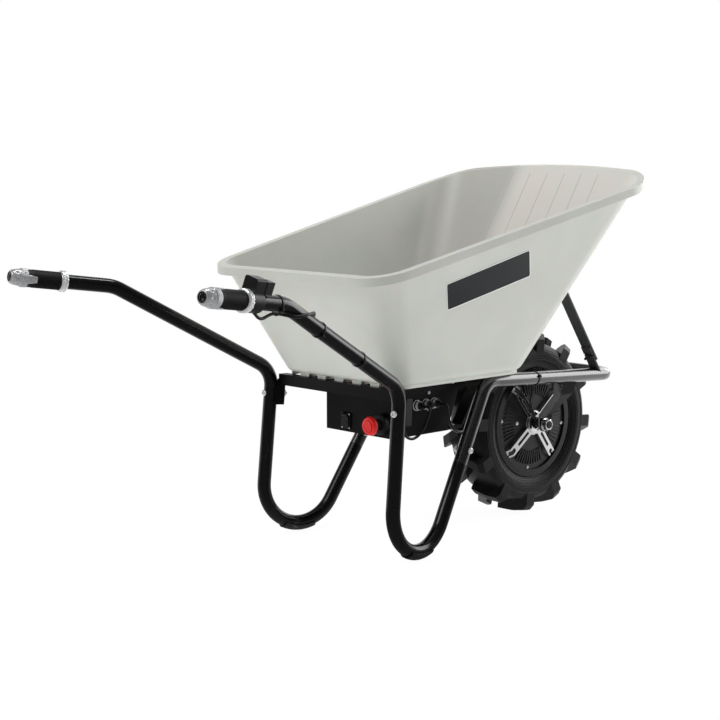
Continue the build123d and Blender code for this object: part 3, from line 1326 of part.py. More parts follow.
# Write each piece
right_wheel = [mirror(part, about=Plane.XY) for part in (cover, spider, bearing, washer, axle_nut)]
pieces = {
    "handle_tube_left": handle,
    "handle_tube_right": mirrored(handle),
    "leg_left": leg,
    "leg_right": mirrored(leg),
    "leg_soles": both_sides(sole),
    "bumper_tube": bumper,
    "rear_crossbar": rear_crossbar,
    "saddle_brackets": both_sides(saddle),
    "rail_left": rail,
    "rail_right": mirrored(rail),
    "front_crossbar": front_crossbar,
    "frame_bolts": frame_bolts,
    "brace_left": brace,
    "brace_right": mirrored(brace),
    "brace_feet": both_sides(brace_foot),
    "brace_bolts": brace_bolts,
    "tub": tub,
    "tub_bolts": tub_bolts,
    "stay_left": stay,
    "stay_right": mirrored(stay),
    "stay_lugs": stay_lugs,
    "stay_bolts": stay_bolts,
    "axle": on_wheel(axle),
    "axle_nuts": on_wheel(group([axle_nut, washer, *right_wheel[3:]])),
    "stator": on_wheel(stator),
    "tyre": on_wheel(tyre),
    "rim": on_wheel(rim),
    "hub_cover_left": on_wheel(cover),
    "hub_cover_right": on_wheel(right_wheel[0]),
    "hub_spider_left": on_wheel(spider),
    "hub_spider_right": on_wheel(right_wheel[1]),
    "cover_screws": on_wheel(group([*wheel_screws, *[mirror(s, about=Plane.XY) for s in wheel_screws]])),
    "bearings": on_wheel(group([bearing, right_wheel[2]])),
    "magnet_ring": on_wheel(magnet_ring),
    "battery_box": battery_box,
    "battery_box_lid": box_lid,
    "battery_pack": battery_pack,
    "motor_controller": controller,
    "box_hangers": both_sides(hanger),
    "box_fasteners": group([hanger_bolts, box_screws]),
    "lead_connectors": connectors,
    "charge_socket": charge_socket,
    "charge_cap": charge_cap,
    "e_stop_base": stop_base,
    "e_stop_plunger": stop_plunger,
    "e_stop_head": stop_head,
    "grip_left": grip_left,
    "grip_cap_left": grip_cap_left,
    "grip_ring_left": grip_ring_left,
    "throttle_sleeve": throttle_sleeve,
    "throttle_tube": throttle_tube,
    "throttle_cap": throttle_cap,
    "throttle_ring": throttle_ring,
    "throttle_housing": throttle_housing,
    "charge_gauge": charge_gauge,
    "throttle_cable": throttle_cable,
    "motor_cable": motor_cable,
    "cable_ties": group(ties),
}
os.makedirs("parts", exist_ok=True)
for name, shape in pieces.items():
    export_step(shape, f"parts/{name}.step")
print(len(pieces), "nodes")
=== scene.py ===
import bpy
import bmesh
import json
import math
import numpy as np
from mathutils import Matrix, Vector


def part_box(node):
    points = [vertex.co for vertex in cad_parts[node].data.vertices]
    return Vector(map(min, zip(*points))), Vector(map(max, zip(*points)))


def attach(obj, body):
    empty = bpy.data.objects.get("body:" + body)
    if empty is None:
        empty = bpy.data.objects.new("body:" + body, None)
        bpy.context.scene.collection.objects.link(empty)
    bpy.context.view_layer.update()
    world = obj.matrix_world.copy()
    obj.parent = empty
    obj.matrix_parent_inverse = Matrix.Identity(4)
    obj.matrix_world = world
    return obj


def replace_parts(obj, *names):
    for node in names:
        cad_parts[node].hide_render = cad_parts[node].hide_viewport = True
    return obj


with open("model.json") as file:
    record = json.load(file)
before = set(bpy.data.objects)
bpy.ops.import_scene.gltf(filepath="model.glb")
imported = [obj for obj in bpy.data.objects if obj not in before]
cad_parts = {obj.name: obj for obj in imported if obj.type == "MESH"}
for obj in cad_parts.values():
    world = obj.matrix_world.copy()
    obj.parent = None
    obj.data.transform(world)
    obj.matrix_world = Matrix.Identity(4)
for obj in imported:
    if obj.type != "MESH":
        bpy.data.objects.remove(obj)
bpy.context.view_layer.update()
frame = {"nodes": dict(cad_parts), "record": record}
nodes = frame["nodes"]
print("frame loaded:", len(nodes), "nodes")

cameraSetup = {
    "place": (-2.4411, -2.5381, 0.8522),  # metres, same frame as the CAD
    "heading": 46.55,  # degrees from +X towards +Y
    "down": 7.41,
    "lens": 83.084, "sensor": 36.0,  # mm, for a square picture
    "reach": 60.0,  # metres that it sees
}


def intoScene(thing):
    bpy.context.scene.collection.objects.link(thing)


def makeCamera(setup):
    data = bpy.data.cameras.new("camera")
    data.sensor_fit = "HORIZONTAL"
    data.sensor_width = setup["sensor"]
    data.lens = setup["lens"]
    data.clip_end = setup["reach"]
    cam = bpy.data.objects.new("camera", data)
    intoScene(cam)
    cam.location = setup["place"]
    heading, down = math.radians(setup["heading"]), math.radians(setup["down"])
    level = math.cos(down)
    look = Vector((math.cos(heading) * level, math.sin(heading) * level, -math.sin(down)))
    cam.rotation_euler = look.to_track_quat("-Z", "Y").to_euler()
    bpy.context.scene.camera = cam


makeCamera(cameraSetup)
print("camera set")


# small helpers for node trees
def wire(tree, a, b):
    tree.links.new(a, b)


def addNode(tree, kind, **values):
    node = tree.nodes.new(kind)
    for key, value in values.items():
        setattr(node, key, value)
    return node


def plugIn(tree, socket, value):
    # a number or colour is set on the socket, anything else is wired to it
    if isinstance(value, (int, float)):
        socket.default_value = value
    elif isinstance(value, (tuple, list)):
        socket.default_value = (*value[:3], 1.0) if len(socket.default_value) == 4 else value
    else:
        wire(tree, value, socket)


def mathNode(tree, operation, a, b, clamp=False):
    node = addNode(tree, "ShaderNodeMath", operation=operation, use_clamp=clamp)
    plugIn(tree, node.inputs[0], a)
    plugIn(tree, node.inputs[1], b)
    return node.outputs[0]


def times(tree, a, b):
    return mathNode(tree, "MULTIPLY", a, b)


def vectorNode(tree, operation, a, b=None):
    node = addNode(tree, "ShaderNodeVectorMath", operation=operation)
    plugIn(tree, node.inputs[0], a)
    if b is not None:
        plugIn(tree, node.inputs[1], b)
    return node.outputs["Value" if operation in ("LENGTH", "DOT_PRODUCT") else "Vector"]


def splitNode(tree, vector):
    node = addNode(tree, "ShaderNodeSeparateXYZ")
    wire(tree, vector, node.inputs[0])
    return node.outputs


def rampNode(tree, value, low, high, toLow=0.0, toHigh=1.0):
    node = addNode(tree, "ShaderNodeMapRange", interpolation_type="SMOOTHSTEP")
    labels = ("Value", "From Min", "From Max", "To Min", "To Max")
    for label, number in zip(labels, (value, low, high, toLow, toHigh)):
        plugIn(tree, node.inputs[label], number)
    return node.outputs["Result"]


def mixNode(tree, kind, first, out, values):
    # the sockets of each kind of mix start at their own number
    node = addNode(tree, "ShaderNodeMix", data_type=kind)
    for number, value in zip((0, first, first + 1), values):
        plugIn(tree, node.inputs[number], value)
    return node.outputs[out]


def mixColor(tree, *values):
    return mixNode(tree, "RGBA", 6, 2, values)


def mixValue(tree, *values):
    return mixNode(tree, "FLOAT", 2, 0, values)


def noiseNode(tree, coords, scale, detail=2.0):
    node = addNode(tree, "ShaderNodeTexNoise")
    plugIn(tree, node.inputs["Vector"], coords)
    plugIn(tree, node.inputs["Scale"], scale)
    node.inputs["Detail"].default_value = detail
    return node.outputs["Fac"]


# effects that several finishes share, each a node group built once
effects = {
    "fineSize": 900.0, "fineDetail": 4.0, "toneSize": 7.0, "toneDetail": 3.0,
    "scratchStretch": (20.0, 260.0, 20.0), "scratchLines": (0.62, 0.68), "scratchShare": 0.2,
    "patchSize": 14.0, "patches": (0.5, 0.7),  # scratches lie in patches
    "dustShare": 0.2, "dustSize": 40.0, "dustDetail": 5.0, "dustUp": (0.1, 0.95), "dustClouds": (0.4, 0.7),
    "backFrom": (0.25, 0.35), "backFacing": (0.2, 0.55),  # metres ahead, share of facing back
    "backLine": 0.065, "backSoft": 0.07,  # metres to the left, where right goes over to left
}


def newGroup(name, inputs, outputs):
    group = bpy.data.node_groups.new(name, "ShaderNodeTree")
    for label, value in inputs.items():
        kind = "NodeSocketVector" if isinstance(value, tuple) else "NodeSocketFloat"
        group.interface.new_socket(label, in_out="INPUT", socket_type=kind).default_value = value
    for label in outputs:
        group.interface.new_socket(label, in_out="OUTPUT", socket_type="NodeSocketFloat")
    return group, group.nodes.new("NodeGroupInput"), group.nodes.new("NodeGroupOutput")


def makeGrain(setup):
    # fine surface grain as a height, and a slow change of tone
    group, gin, gout = newGroup("surfaceGrain", {"Size": setup["fineSize"]}, ("Height", "Tone"))
    coords = addNode(group, "ShaderNodeTexCoord").outputs["Object"]
    wire(group, noiseNode(group, coords, gin.outputs["Size"], setup["fineDetail"]), gout.inputs["Height"])
    wire(group, noiseNode(group, coords, setup["toneSize"], setup["toneDetail"]), gout.inputs["Tone"])
    return group


def makeScuff(setup):
    # thin broken scratches that run across the object's height
    inputs = {"Stretch": setup["scratchStretch"], "Share": setup["scratchShare"]}
    group, gin, gout = newGroup("scuffMarks", inputs, ("Mask",))
    coords = addNode(group, "ShaderNodeTexCoord").outputs["Object"]
    lines = noiseNode(group, vectorNode(group, "MULTIPLY", coords, gin.outputs["Stretch"]), 1.0)
    patches = noiseNode(group, coords, setup["patchSize"])
    mask = times(group, rampNode(group, lines, *setup["scratchLines"]),
                 rampNode(group, patches, *setup["patches"]))
    wire(group, times(group, mask, gin.outputs["Share"]), gout.inputs["Mask"])
    return group


def makeDust(setup):
    # pale dust that lies on what faces up
    inputs = {"Amount": setup["dustShare"], "Size": setup["dustSize"]}
    group, gin, gout = newGroup("dustFilm", inputs, ("Mask",))
    coords = addNode(group, "ShaderNodeTexCoord")
    up = splitNode(group, coords.outputs["Normal"])["Z"]
    cloud = noiseNode(group, coords.outputs["Object"], gin.outputs["Size"], setup["dustDetail"])
    mask = times(group, rampNode(group, up, *setup["dustUp"]),
                 rampNode(group, cloud, *setup["dustClouds"]))
    wire(group, times(group, mask, gin.outputs["Amount"]), gout.inputs["Mask"])
    return group


def makePaintedLightMask(setup):
    # mask for painted light and shade: what faces back in the front half, such as the tub's front wall
    # inside: its right part and its left part
    inputs = {"Line": setup["backLine"], "Soft": setup["backSoft"]}
    group, gin, gout = newGroup("paintedLightMask", inputs, ("Right", "Left"))
    surface = addNode(group, "ShaderNodeNewGeometry")
    place = splitNode(group, surface.outputs["Position"])
    facing = splitNode(group, surface.outputs["Normal"])
    back = times(group, facing["X"], -1.0)
    face = times(group, rampNode(group, place["X"], *setup["backFrom"]),
                 rampNode(group, back, *setup["backFacing"]))
    across = mathNode(group, "SUBTRACT", place["Y"], gin.outputs["Line"])
    left = rampNode(group, mathNode(group, "DIVIDE", across, gin.outputs["Soft"]), 0.0, 1.0)
    right = mathNode(group, "SUBTRACT", 1.0, left)
    wire(group, times(group, face, left), gout.inputs["Left"])
    wire(group, times(group, face, right), gout.inputs["Right"])
    return group


grainGroup = makeGrain(effects)
scuffGroup = makeScuff(effects)
dustGroup = makeDust(effects)
paintedLightMaskGroup = makePaintedLightMask(effects)
print("shared effects made")

# what every finish has in common
finishBase = {
    "toneColor": (0.3, 0.7), "toneRough": (0.25, 0.75),  # span of the slow tone that shows
    "dustColor": (0.42, 0.39, 0.34), "dustRough": 0.4,
    "scuffColor": (0.3, 0.3, 0.3), "scuffRough": 0.3,
    "edge": 0.0006, "edgeSamples": 4,  # edges are never razor sharp
    "bumpDepth": 0.0004,
}


def useGroup(tree, group, **values):
    node = addNode(tree, "ShaderNodeGroup", node_tree=group)
    for key, value in values.items():
        node.inputs[key].default_value = value
    return node


def makeFinish(name, look):
    # one surface finish from its dictionary of values
    material = bpy.data.materials.new(name)
    material.use_nodes = True
    tree = material.node_tree
    shader = tree.nodes["Principled BSDF"]
    for label, value in look.get("fixed", {}).items():
        shader.inputs[label].default_value = value
    grain = useGroup(tree, grainGroup, Size=look["grain"])
    tone = grain.outputs["Tone"]
    color = mixColor(tree, rampNode(tree, tone, *finishBase["toneColor"]), look["color"], look["other"])
    rough = rampNode(tree, tone, *finishBase["toneRough"], *look["rough"])
    if "dust" in look:
        dust = useGroup(tree, dustGroup, Amount=look["dust"]).outputs["Mask"]
        color = mixColor(tree, dust, color, finishBase["dustColor"])
        dustRough = times(tree, dust, finishBase["dustRough"])
        rough = mathNode(tree, "ADD", rough, dustRough, clamp=True)
    if "scuff" in look:
        scuff = useGroup(tree, scuffGroup, Share=look["scuff"]).outputs["Mask"]
        color = mixColor(tree, scuff, color, finishBase["scuffColor"])
        scuffRough = times(tree, scuff, finishBase["scuffRough"])
        rough = mathNode(tree, "ADD", rough, scuffRough, clamp=True)
    # painted light and shade on what faces back in the front half
    if "paintedLightRight" in look:
        back = useGroup(tree, paintedLightMaskGroup)
        color = mixColor(tree, back.outputs["Left"], color, look["paintedLightAndShadeLeft"])
        color = mixColor(tree, back.outputs["Right"], color, look["paintedLightRight"])
    wire(tree, color, shader.inputs["Base Color"])
    wire(tree, rough, shader.inputs["Roughness"])
    edge = addNode(tree, "ShaderNodeBevel", samples=finishBase["edgeSamples"])
    edge.inputs["Radius"].default_value = look.get("edge", finishBase["edge"])
    bump = addNode(tree, "ShaderNodeBump")
    bump.inputs["Strength"].default_value = look["bump"]
    bump.inputs["Distance"].default_value = finishBase["bumpDepth"]
    wire(tree, grain.outputs["Height"], bump.inputs["Height"])
    wire(tree, edge.outputs["Normal"], bump.inputs["Normal"])
    wire(tree, bump.outputs["Normal"], shader.inputs["Normal"])
    return material


paint = {"grain": 700.0, "bump": 0.05, "scuff": 0.04, "edge": 0.0009}
gloss = {**paint, "grain": 500.0, "bump": 0.02}
film = {"grain": 900.0, "bump": 0.03}
casting = {"grain": 900.0, "bump": 0.1}
moulding = {"grain": 1400.0, "bump": 0.05}
plating = {"grain": 1400.0, "bump": 0.08}
cap = {"grain": 1200.0, "bump": 0.04}
looks = {
    "framePaint": {"color": (0.003, 0.003, 0.0033), "other": (0.004, 0.004, 0.0045), "rough": (0.16, 0.22),
        **gloss, "fixed": {"Specular IOR Level": 0.4, "Coat Weight": 0.1, "Coat Roughness": 0.08}},
    "bumperPaint": {"color": (0.004, 0.004, 0.0045), "other": (0.006, 0.006, 0.0065), "rough": (0.2, 0.26),
        **gloss, "fixed": {"Specular IOR Level": 1.0, "Coat Weight": 0.8, "Coat Roughness": 0.15}},
    "platePaint": {"color": (0.003, 0.003, 0.0032), "other": (0.0045, 0.0045, 0.0047),
        "rough": (0.34, 0.46), **paint, "fixed": {"Specular IOR Level": 0.22}},
    # painted sheen: the braces are coloured mid-grey instead of the frame's black
    "bracePaintedSheen": {"color": (0.044, 0.045, 0.047), "other": (0.054, 0.055, 0.057), "rough": (0.34, 0.46),
        **paint, "scuff": 0.06},
    # painted light: the flange behind is painted paler than the plate, as if lit from behind
    "stayPaint": {"color": (0.0025, 0.0025, 0.0027), "other": (0.004, 0.004, 0.0042), "rough": (0.34, 0.44),
        **paint, "paintedLightRight": (0.16, 0.16, 0.165), "paintedLightAndShadeLeft": (0.16, 0.16, 0.165),
        "fixed": {"Specular IOR Level": 0.12}},
    "solePaint": {"color": (0.006, 0.006, 0.006), "other": (0.012, 0.012, 0.012), "rough": (0.4, 0.6),
        "grain": 500.0, "bump": 0.12, "scuff": 0.3, "edge": 0.0009},
    # painted light and shade: the front wall inside is painted paler, and painted darker as shade towards its
    # left corner
    "tubPlastic": {"color": (0.56, 0.58, 0.535), "other": (0.60, 0.615, 0.575), "rough": (0.36, 0.46),
        **moulding, "edge": 0.0007, "paintedLightRight": (0.66, 0.665, 0.62), "paintedLightAndShadeLeft": (0.47, 0.475, 0.44),
        "fixed": {"Subsurface Weight": 0.2, "Subsurface Scale": 0.006, "Specular IOR Level": 0.35}},
    # painted shade: the flute creases are darker than the tub
    "tubCreasePaintedShade": {"color": (0.40, 0.415, 0.385), "other": (0.44, 0.455, 0.425), "rough": (0.42, 0.52),
        **moulding, "edge": 0.0004},
    "tyreRubber": {"color": (0.0035, 0.0035, 0.0035), "other": (0.006, 0.006, 0.0058),
        "rough": (0.34, 0.48), "grain": 1200.0, "bump": 0.15, "dust": 0.015, "edge": 0.002,
        "fixed": {"Specular IOR Level": 0.35}},
    "gripRubber": {"color": (0.004, 0.004, 0.004), "other": (0.006, 0.006, 0.006), "rough": (0.5, 0.65),
        "grain": 1500.0, "bump": 0.25, "fixed": {"Specular IOR Level": 0.35}},
    "blackPlastic": {"color": (0.006, 0.006, 0.0065), "other": (0.009, 0.009, 0.0095), "rough": (0.3, 0.42),
        "grain": 1800.0, "bump": 0.12},
    "hubAlloy": {"color": (0.008, 0.008, 0.0085), "other": (0.013, 0.013, 0.0135), "rough": (0.34, 0.46),
        "grain": 1000.0, "bump": 0.12, "edge": 0.0008},
    "brightChrome": {"color": (0.86, 0.86, 0.87), "other": (0.80, 0.80, 0.81), "rough": (0.05, 0.12),
        "grain": 500.0, "bump": 0.02, "fixed": {"Metallic": 1.0}},
    "zincPlate": {"color": (0.90, 0.90, 0.89), "other": (0.82, 0.82, 0.80), "rough": (0.22, 0.34),
        **plating, "fixed": {"Metallic": 0.4}},
    "brightPlate": {"color": (0.90, 0.91, 0.91), "other": (0.82, 0.83, 0.84), "rough": (0.12, 0.2), **film,
        "fixed": {"Metallic": 0.45}},
    "blackSteel": {"color": (0.02, 0.02, 0.022), "other": (0.03, 0.03, 0.032), "rough": (0.3, 0.42),
        **plating, "fixed": {"Metallic": 0.5}},
    "gripMetal": {"color": (0.56, 0.57, 0.58), "other": (0.46, 0.47, 0.48), "rough": (0.26, 0.36),
        "grain": 900.0, "bump": 0.012, "fixed": {"Metallic": 0.45}},
    "stopRed": {"color": (0.82, 0.018, 0.016), "other": (0.74, 0.015, 0.014), "rough": (0.22, 0.32), **cap,
        "fixed": {"Coat Weight": 0.3}},
    "stopDark": {"color": (0.42, 0.008, 0.008), "other": (0.34, 0.006, 0.007), "rough": (0.28, 0.4), **cap},
    "panelFilm": {"color": (0.014, 0.016, 0.018), "other": (0.019, 0.021, 0.023), "rough": (0.3, 0.4),
        **film},
    "panelEdge": {"color": (0.82, 0.83, 0.82), "other": (0.78, 0.79, 0.78), "rough": (0.34, 0.44), **film},
    "innerIron": {"color": (0.2, 0.17, 0.15), "other": (0.26, 0.22, 0.19), "rough": (0.4, 0.6), **casting,
        "fixed": {"Metallic": 0.6}},
    "innerAlloy": {"color": (0.5, 0.51, 0.52), "other": (0.44, 0.45, 0.46), "rough": (0.35, 0.5), **casting,
        "fixed": {"Metallic": 1.0}},
}
finishes = {name: makeFinish(name, look) for name, look in looks.items()}
print("finishes made:", len(finishes))

# which finish each CAD node takes
slotFinish = {
    "frame_black": "framePaint", "sole_black": "solePaint", "zinc": "zincPlate", "tub_plastic": "tubPlastic",
    "tyre_rubber": "tyreRubber", "rim_black": "framePaint", "hub_dark": "hubAlloy",
    "spider_chrome": "brightChrome", "axle_steel": "zincPlate", "motor_iron": "innerIron",
    "battery_case": "blackPlastic", "controller_alloy": "innerAlloy", "connector_black": "blackPlastic",
    "stop_red": "stopRed", "grip_rubber": "gripRubber", "grip_grey": "gripMetal",
    "grip_clear": "brightPlate", "lead_black": "blackPlastic",
}
nodeFinish = {  # nodes that are duller, paler, brighter or darker than the rest of their slot
    "bumperPaint": ("bumper_tube",), "blackSteel": ("axle",), "stayPaint": ("stay_left", "stay_right"),
    "bracePaintedSheen": ("brace_left", "brace_right", "brace_feet"),
    "platePaint": ("saddle_brackets", "rear_crossbar", "rail_left", "rail_right", "stay_lugs", "battery_box",
                   "battery_box_lid", "box_hangers", "front_crossbar"),
}


def dressNodes():
    special = {node: name for name, group in nodeFinish.items() for node in group}
    for part in frame["record"]["subparts"]:
        mesh = nodes[part["node"]].data
        mesh.materials.clear()
        mesh.materials.append(finishes[special.get(part["node"], slotFinish[part["material_slot"]])])


dressNodes()
print("nodes dressed")


# helpers that build and place meshes
def standOn(point, axis):
    # a place whose own z runs along the axis from the point
    return Matrix.Translation(Vector(point)) @ Vector(axis).to_track_quat("Z", "Y").to_matrix().to_4x4()


def turnedPoint(radius, angle, height):
    return Vector((radius * math.cos(angle), radius * math.sin(angle), height))


def joinRings(bm, rings, closed=True):
    # faces round a full turn of profiles
    for a, b in zip(rings, rings[1:] + rings[:1]):
        for j in range(len(a) if closed else len(a) - 1):
            k = (j + 1) % len(a)
            bm.faces.new((a[j], b[j], b[k], a[k]))


def joinRows(bm, rows, closed=False):
    # faces between rows of the same number of points
    for a, b in zip(rows, rows[1:]):
        for j in range(len(a) if closed else len(a) - 1):
            k = (j + 1) % len(a)
            bm.faces.new((a[j], a[k], b[k], b[j]))


def turned(bm, profile, place, steps, shape=None, closed=True):
    # a profile of (radius, height) pairs turned about the place's own z
    rings = []
    for i in range(steps):
        angle = 2 * math.pi * i / steps
        ring = []
        for j, (radius, height) in enumerate(profile):
            radius = shape(j, radius, angle) if shape else radius
            ring.append(bm.verts.new(place @ turnedPoint(radius, angle, height)))
        rings.append(ring)
    joinRings(bm, rings, closed)
    if not closed:
        bm.faces.new([ring[0] for ring in rings])
        bm.faces.new([ring[-1] for ring in rings])


def roundSection(middle, thick, flat, steps=12):
    # profile of a ring with a round section, pressed flat by a share
    angles = [2 * math.pi * i / steps for i in range(steps)]
    return [(middle + thick * math.cos(t), flat * thick * math.sin(t)) for t in angles]


def hexRadius(halfFlat, angle):
    return halfFlat / math.cos((angle % (math.pi / 3)) - math.pi / 6)


def newPiece(name, bm, finishName, body, sharp=35.0):
    # a finished mesh becomes a piece that rides on its body
    bmesh.ops.recalc_face_normals(bm, faces=bm.faces[:])
    mesh = bpy.data.meshes.new(name)
    bm.to_mesh(mesh)
    bm.free()
    mesh.polygons.foreach_set("use_smooth", [True] * len(mesh.polygons))
    mesh.set_sharp_from_angle(angle=math.radians(sharp))
    mesh.materials.append(finishes[finishName])
    piece = bpy.data.objects.new(name, mesh)
    intoScene(piece)
    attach(piece, body)
    return piece


def solidsOf(node):
    # the points of each separate solid in a CAD node
    mesh = nodes[node].data
    owner = list(range(len(mesh.vertices)))

    def root(i):
        while owner[i] != i:
            owner[i] = owner[owner[i]]
            i = owner[i]
        return i

    places, perMetre = {}, 1e5  # points within 0.01 mm are one
    for vertex in mesh.vertices:
        key = tuple(round(c * perMetre) for c in vertex.co)
        owner[root(vertex.index)] = root(places.setdefault(key, vertex.index))
    for edge in mesh.edges:
        owner[root(edge.vertices[0])] = root(edge.vertices[1])
    found = {}
    for vertex in mesh.vertices:
        found.setdefault(root(vertex.index), []).append(tuple(vertex.co))
    return [np.array(points) for points in found.values()]


def axesOf(points):
    # middle, main axes and reach along each of a cloud of points
    middle = points.mean(axis=0)
    axes = np.linalg.svd(points - middle, full_matrices=False)[2]
    along = (points - middle) @ axes.T
    middle = middle + axes.T @ ((along.max(axis=0) + along.min(axis=0)) / 2)
    return Vector(middle), [Vector(axis) for axis in axes], along.max(axis=0) - along.min(axis=0)


def surfaceAt(node, point, direction):
    # where a ray from the point first meets a CAD node, and the way the surface faces there
    place, normal = nodes[node].ray_cast(Vector(point), Vector(direction).normalized())[1:3]
    return place, normal


# bolts, screws and nuts, each in the place of its CAD solid
boltShape = {
    "headBand": 0.95,  # what lies this far out belongs to the head, as a share of its radius
    "underHead": 0.0002,  # the shank is measured this far below the head
    "socketWide": 0.42,  # share of the head's radius
    "socketDeep": 0.55,  # share of the head's height
    "socketFlat": 0.9,  # half flat of the socket as a share of its radius
    "socketRim": (1.12, 0.96),  # shares of the socket's radius and of the head's height
    "dome": ((0.62, 0.985), (0.82, 0.8), (0.95, 0.45), (1.0, 0.12), (0.985, 0.0)),  # of radius and height
    "threadPitch": 0.00125,
    "threadDeep": 0.14,  # share of the shank's radius
    "threadRun": 0.013, "threadMost": 0.8,  # metres, and at most this share of the shank
    "tip": 0.8,  # share of the shank's radius
    "steps": 36,
}
nutShape = {
    "face": 0.97, "chamfer": 0.1, "boreRim": 1.12,  # shares of the half flat, the height and the bore
    "flatBelow": 0.6, "roundBelow": 1.3,  # a solid this flat and this round is a nut
    "steps": 72,
}
fasteners = {  # finish and body
    "frame_bolts": ("zincPlate", "frame"), "brace_bolts": ("blackSteel", "frame"),
    "tub_bolts": ("zincPlate", "frame"), "stay_bolts": ("blackSteel", "frame"),
    "box_fasteners": ("zincPlate", "frame"), "cover_screws": ("zincPlate", "wheel"),
}


def radiiAbout(points, middle, axis):
    # distance of each point from the axis, and its height along it
    away = points - np.array(middle)
    height = away @ axis
    return np.linalg.norm(away - np.outer(height, axis), axis=1), height


def addBolt(bm, points, setup):
    middle, axes, reach = axesOf(points)
    axis = np.array(axes[int(np.argmax(reach))])
    radial, height = radiiAbout(points, middle, axis)
    wide = radial > setup["headBand"] * radial.max()
    if height[wide].mean() < 0:
        axis, height = -axis, -height
    headR = radial.max()
    under = height[wide].min()
    headH = height.max() - under
    shankR = radial[height < under - setup["underHead"]].max()
    shankL = under - height.min()
    socket = setup["socketWide"] * headR
    rimWide, rimHigh = setup["socketRim"]
    floor = headH * (1 - setup["socketDeep"])
    inside = [(socket, floor), (socket, rimHigh * headH), (rimWide * socket, headH)]
    profile = inside + [(r * headR, h * headH) for r, h in setup["dome"]] + [(shankR, 0.0)]
    run = min(setup["threadRun"], setup["threadMost"] * shankL)
    turns = max(2, int(run / setup["threadPitch"]))
    low = 1 - setup["threadDeep"]
    for i in range(turns):
        depth = -shankL + run * (1 - i / turns)
        profile += [(shankR, depth), (low * shankR, depth - 0.5 * run / turns)]
    profile.append((setup["tip"] * shankR, -shankL))

    def hexInside(j, radius, angle):
        return hexRadius(radius * setup["socketFlat"], angle) if j < len(inside) else radius

    place = standOn(middle + Vector(axis) * under, axis)
    turned(bm, profile, place, setup["steps"], hexInside, closed=False)


def addNut(bm, middle, axis, halfFlat, bore, high):
    flat, chamfer, rim = nutShape["face"] * halfFlat, nutShape["chamfer"] * high, nutShape["boreRim"] * bore
    corner, top = halfFlat / math.cos(math.pi / 6), high / 2
    side = top - chamfer
    profile = [(bore, -side), (bore, side), (rim, top), (flat, top), (corner, side), (corner, -side),
               (flat, -top), (rim, -top)]

    def hexOutside(j, radius, angle):
        return min(radius, hexRadius(halfFlat, angle)) if radius == corner else radius

    turned(bm, profile, standOn(middle, axis), nutShape["steps"], hexOutside)


def makeFasteners(node, finishName, body):
    bm = bmesh.new()
    for points in solidsOf(node):
        middle, axes, reach = axesOf(points)
        least, mid, most = np.argsort(reach)
        flat = reach[least] < nutShape["flatBelow"] * reach[mid]
        if flat and reach[most] < nutShape["roundBelow"] * reach[mid]:
            bore = radiiAbout(points, middle, np.array(axes[least]))[0].min()
            addNut(bm, middle, axes[least], reach[mid] / 2, bore, reach[least])
        else:
            addBolt(bm, points, boltShape)
    piece = newPiece(node + "_made", bm, finishName, body)
    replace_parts(piece, node)


for fastenerNode, (fastenerFinish, fastenerBody) in fasteners.items():
    makeFasteners(fastenerNode, fastenerFinish, fastenerBody)
print("fasteners made")

# nuts and washers on the axle's two ends
axleEnd = {"washerR": 0.015, "washer": 0.0025, "washerEdge": 0.0005, "washerSteps": 64,
           "halfFlat": 0.012, "bore": 0.0081, "nut": 0.0115}


def makeAxleNuts(setup):
    bm = bmesh.new()
    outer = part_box("axle_nuts")[1][1]
    low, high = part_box("axle")
    centre = Vector(((low[0] + high[0]) / 2, 0.0, (low[2] + high[2]) / 2))
    bore, r, thick, edge = setup["bore"], setup["washerR"], setup["washer"], setup["washerEdge"]
    washer = [(bore, 0), (r - edge, 0), (r, edge), (r, thick - edge), (r - edge, thick), (bore, thick)]
    for side in (1, -1):
        face = outer - setup["nut"] - thick
        place = standOn(centre + Vector((0, side * face, 0)), (0, side, 0))
        turned(bm, washer, place, setup["washerSteps"])
        middle = centre + Vector((0, side * (outer - setup["nut"] / 2), 0))
        addNut(bm, middle, (0, side, 0), setup["halfFlat"], bore, setup["nut"])
    piece = newPiece("axle_nuts_made", bm, "brightChrome", "frame")
    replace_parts(piece, "axle_nuts")


makeAxleNuts(axleEnd)
print("axle nuts made")

# the tyre's moulded side: rings round both walls, on the arc from bead to shoulder
tyreSide = {
    "centre": (0.474, 0.0, 0.21),
    "arc": ((0.127, 0.044), (0.15232, 0.054), (0.180, 0.047)),  # radius, half width at bead, bulge, shoulder
    "rings": ((0.1315, 0.0016, 0.0013), (0.1365, 0.0009, 0.0008), (0.1475, 0.0012, 0.0009),
              (0.1520, 0.0008, 0.0006), (0.1660, 0.0012, 0.0010), (0.1705, 0.0008, 0.0006)),
    # each ring: radius, half width, height
    "ringSteps": 180, "crownSteps": 6, "ringSink": 0.0008,
    "blades": 96, "blade": (0.1385, 0.1455, 0.0007, 0.0006),  # from, to, half width, height
    "bladeSteps": 4, "bladeTop": 0.5, "bladeSink": 0.0005,
}


def circleThrough(a, b, c):
    # middle and radius of the circle through three points
    ax, ay, bx, by, cx, cy = *a, *b, *c
    d = 2 * (ax * (by - cy) + bx * (cy - ay) + cx * (ay - by))
    aa, bb, cc = ax * ax + ay * ay, bx * bx + by * by, cx * cx + cy * cy
    x = (aa * (by - cy) + bb * (cy - ay) + cc * (ay - by)) / d
    y = (aa * (cx - bx) + bb * (ax - cx) + cc * (bx - ax)) / d
    return x, y, math.hypot(ax - x, ay - y)


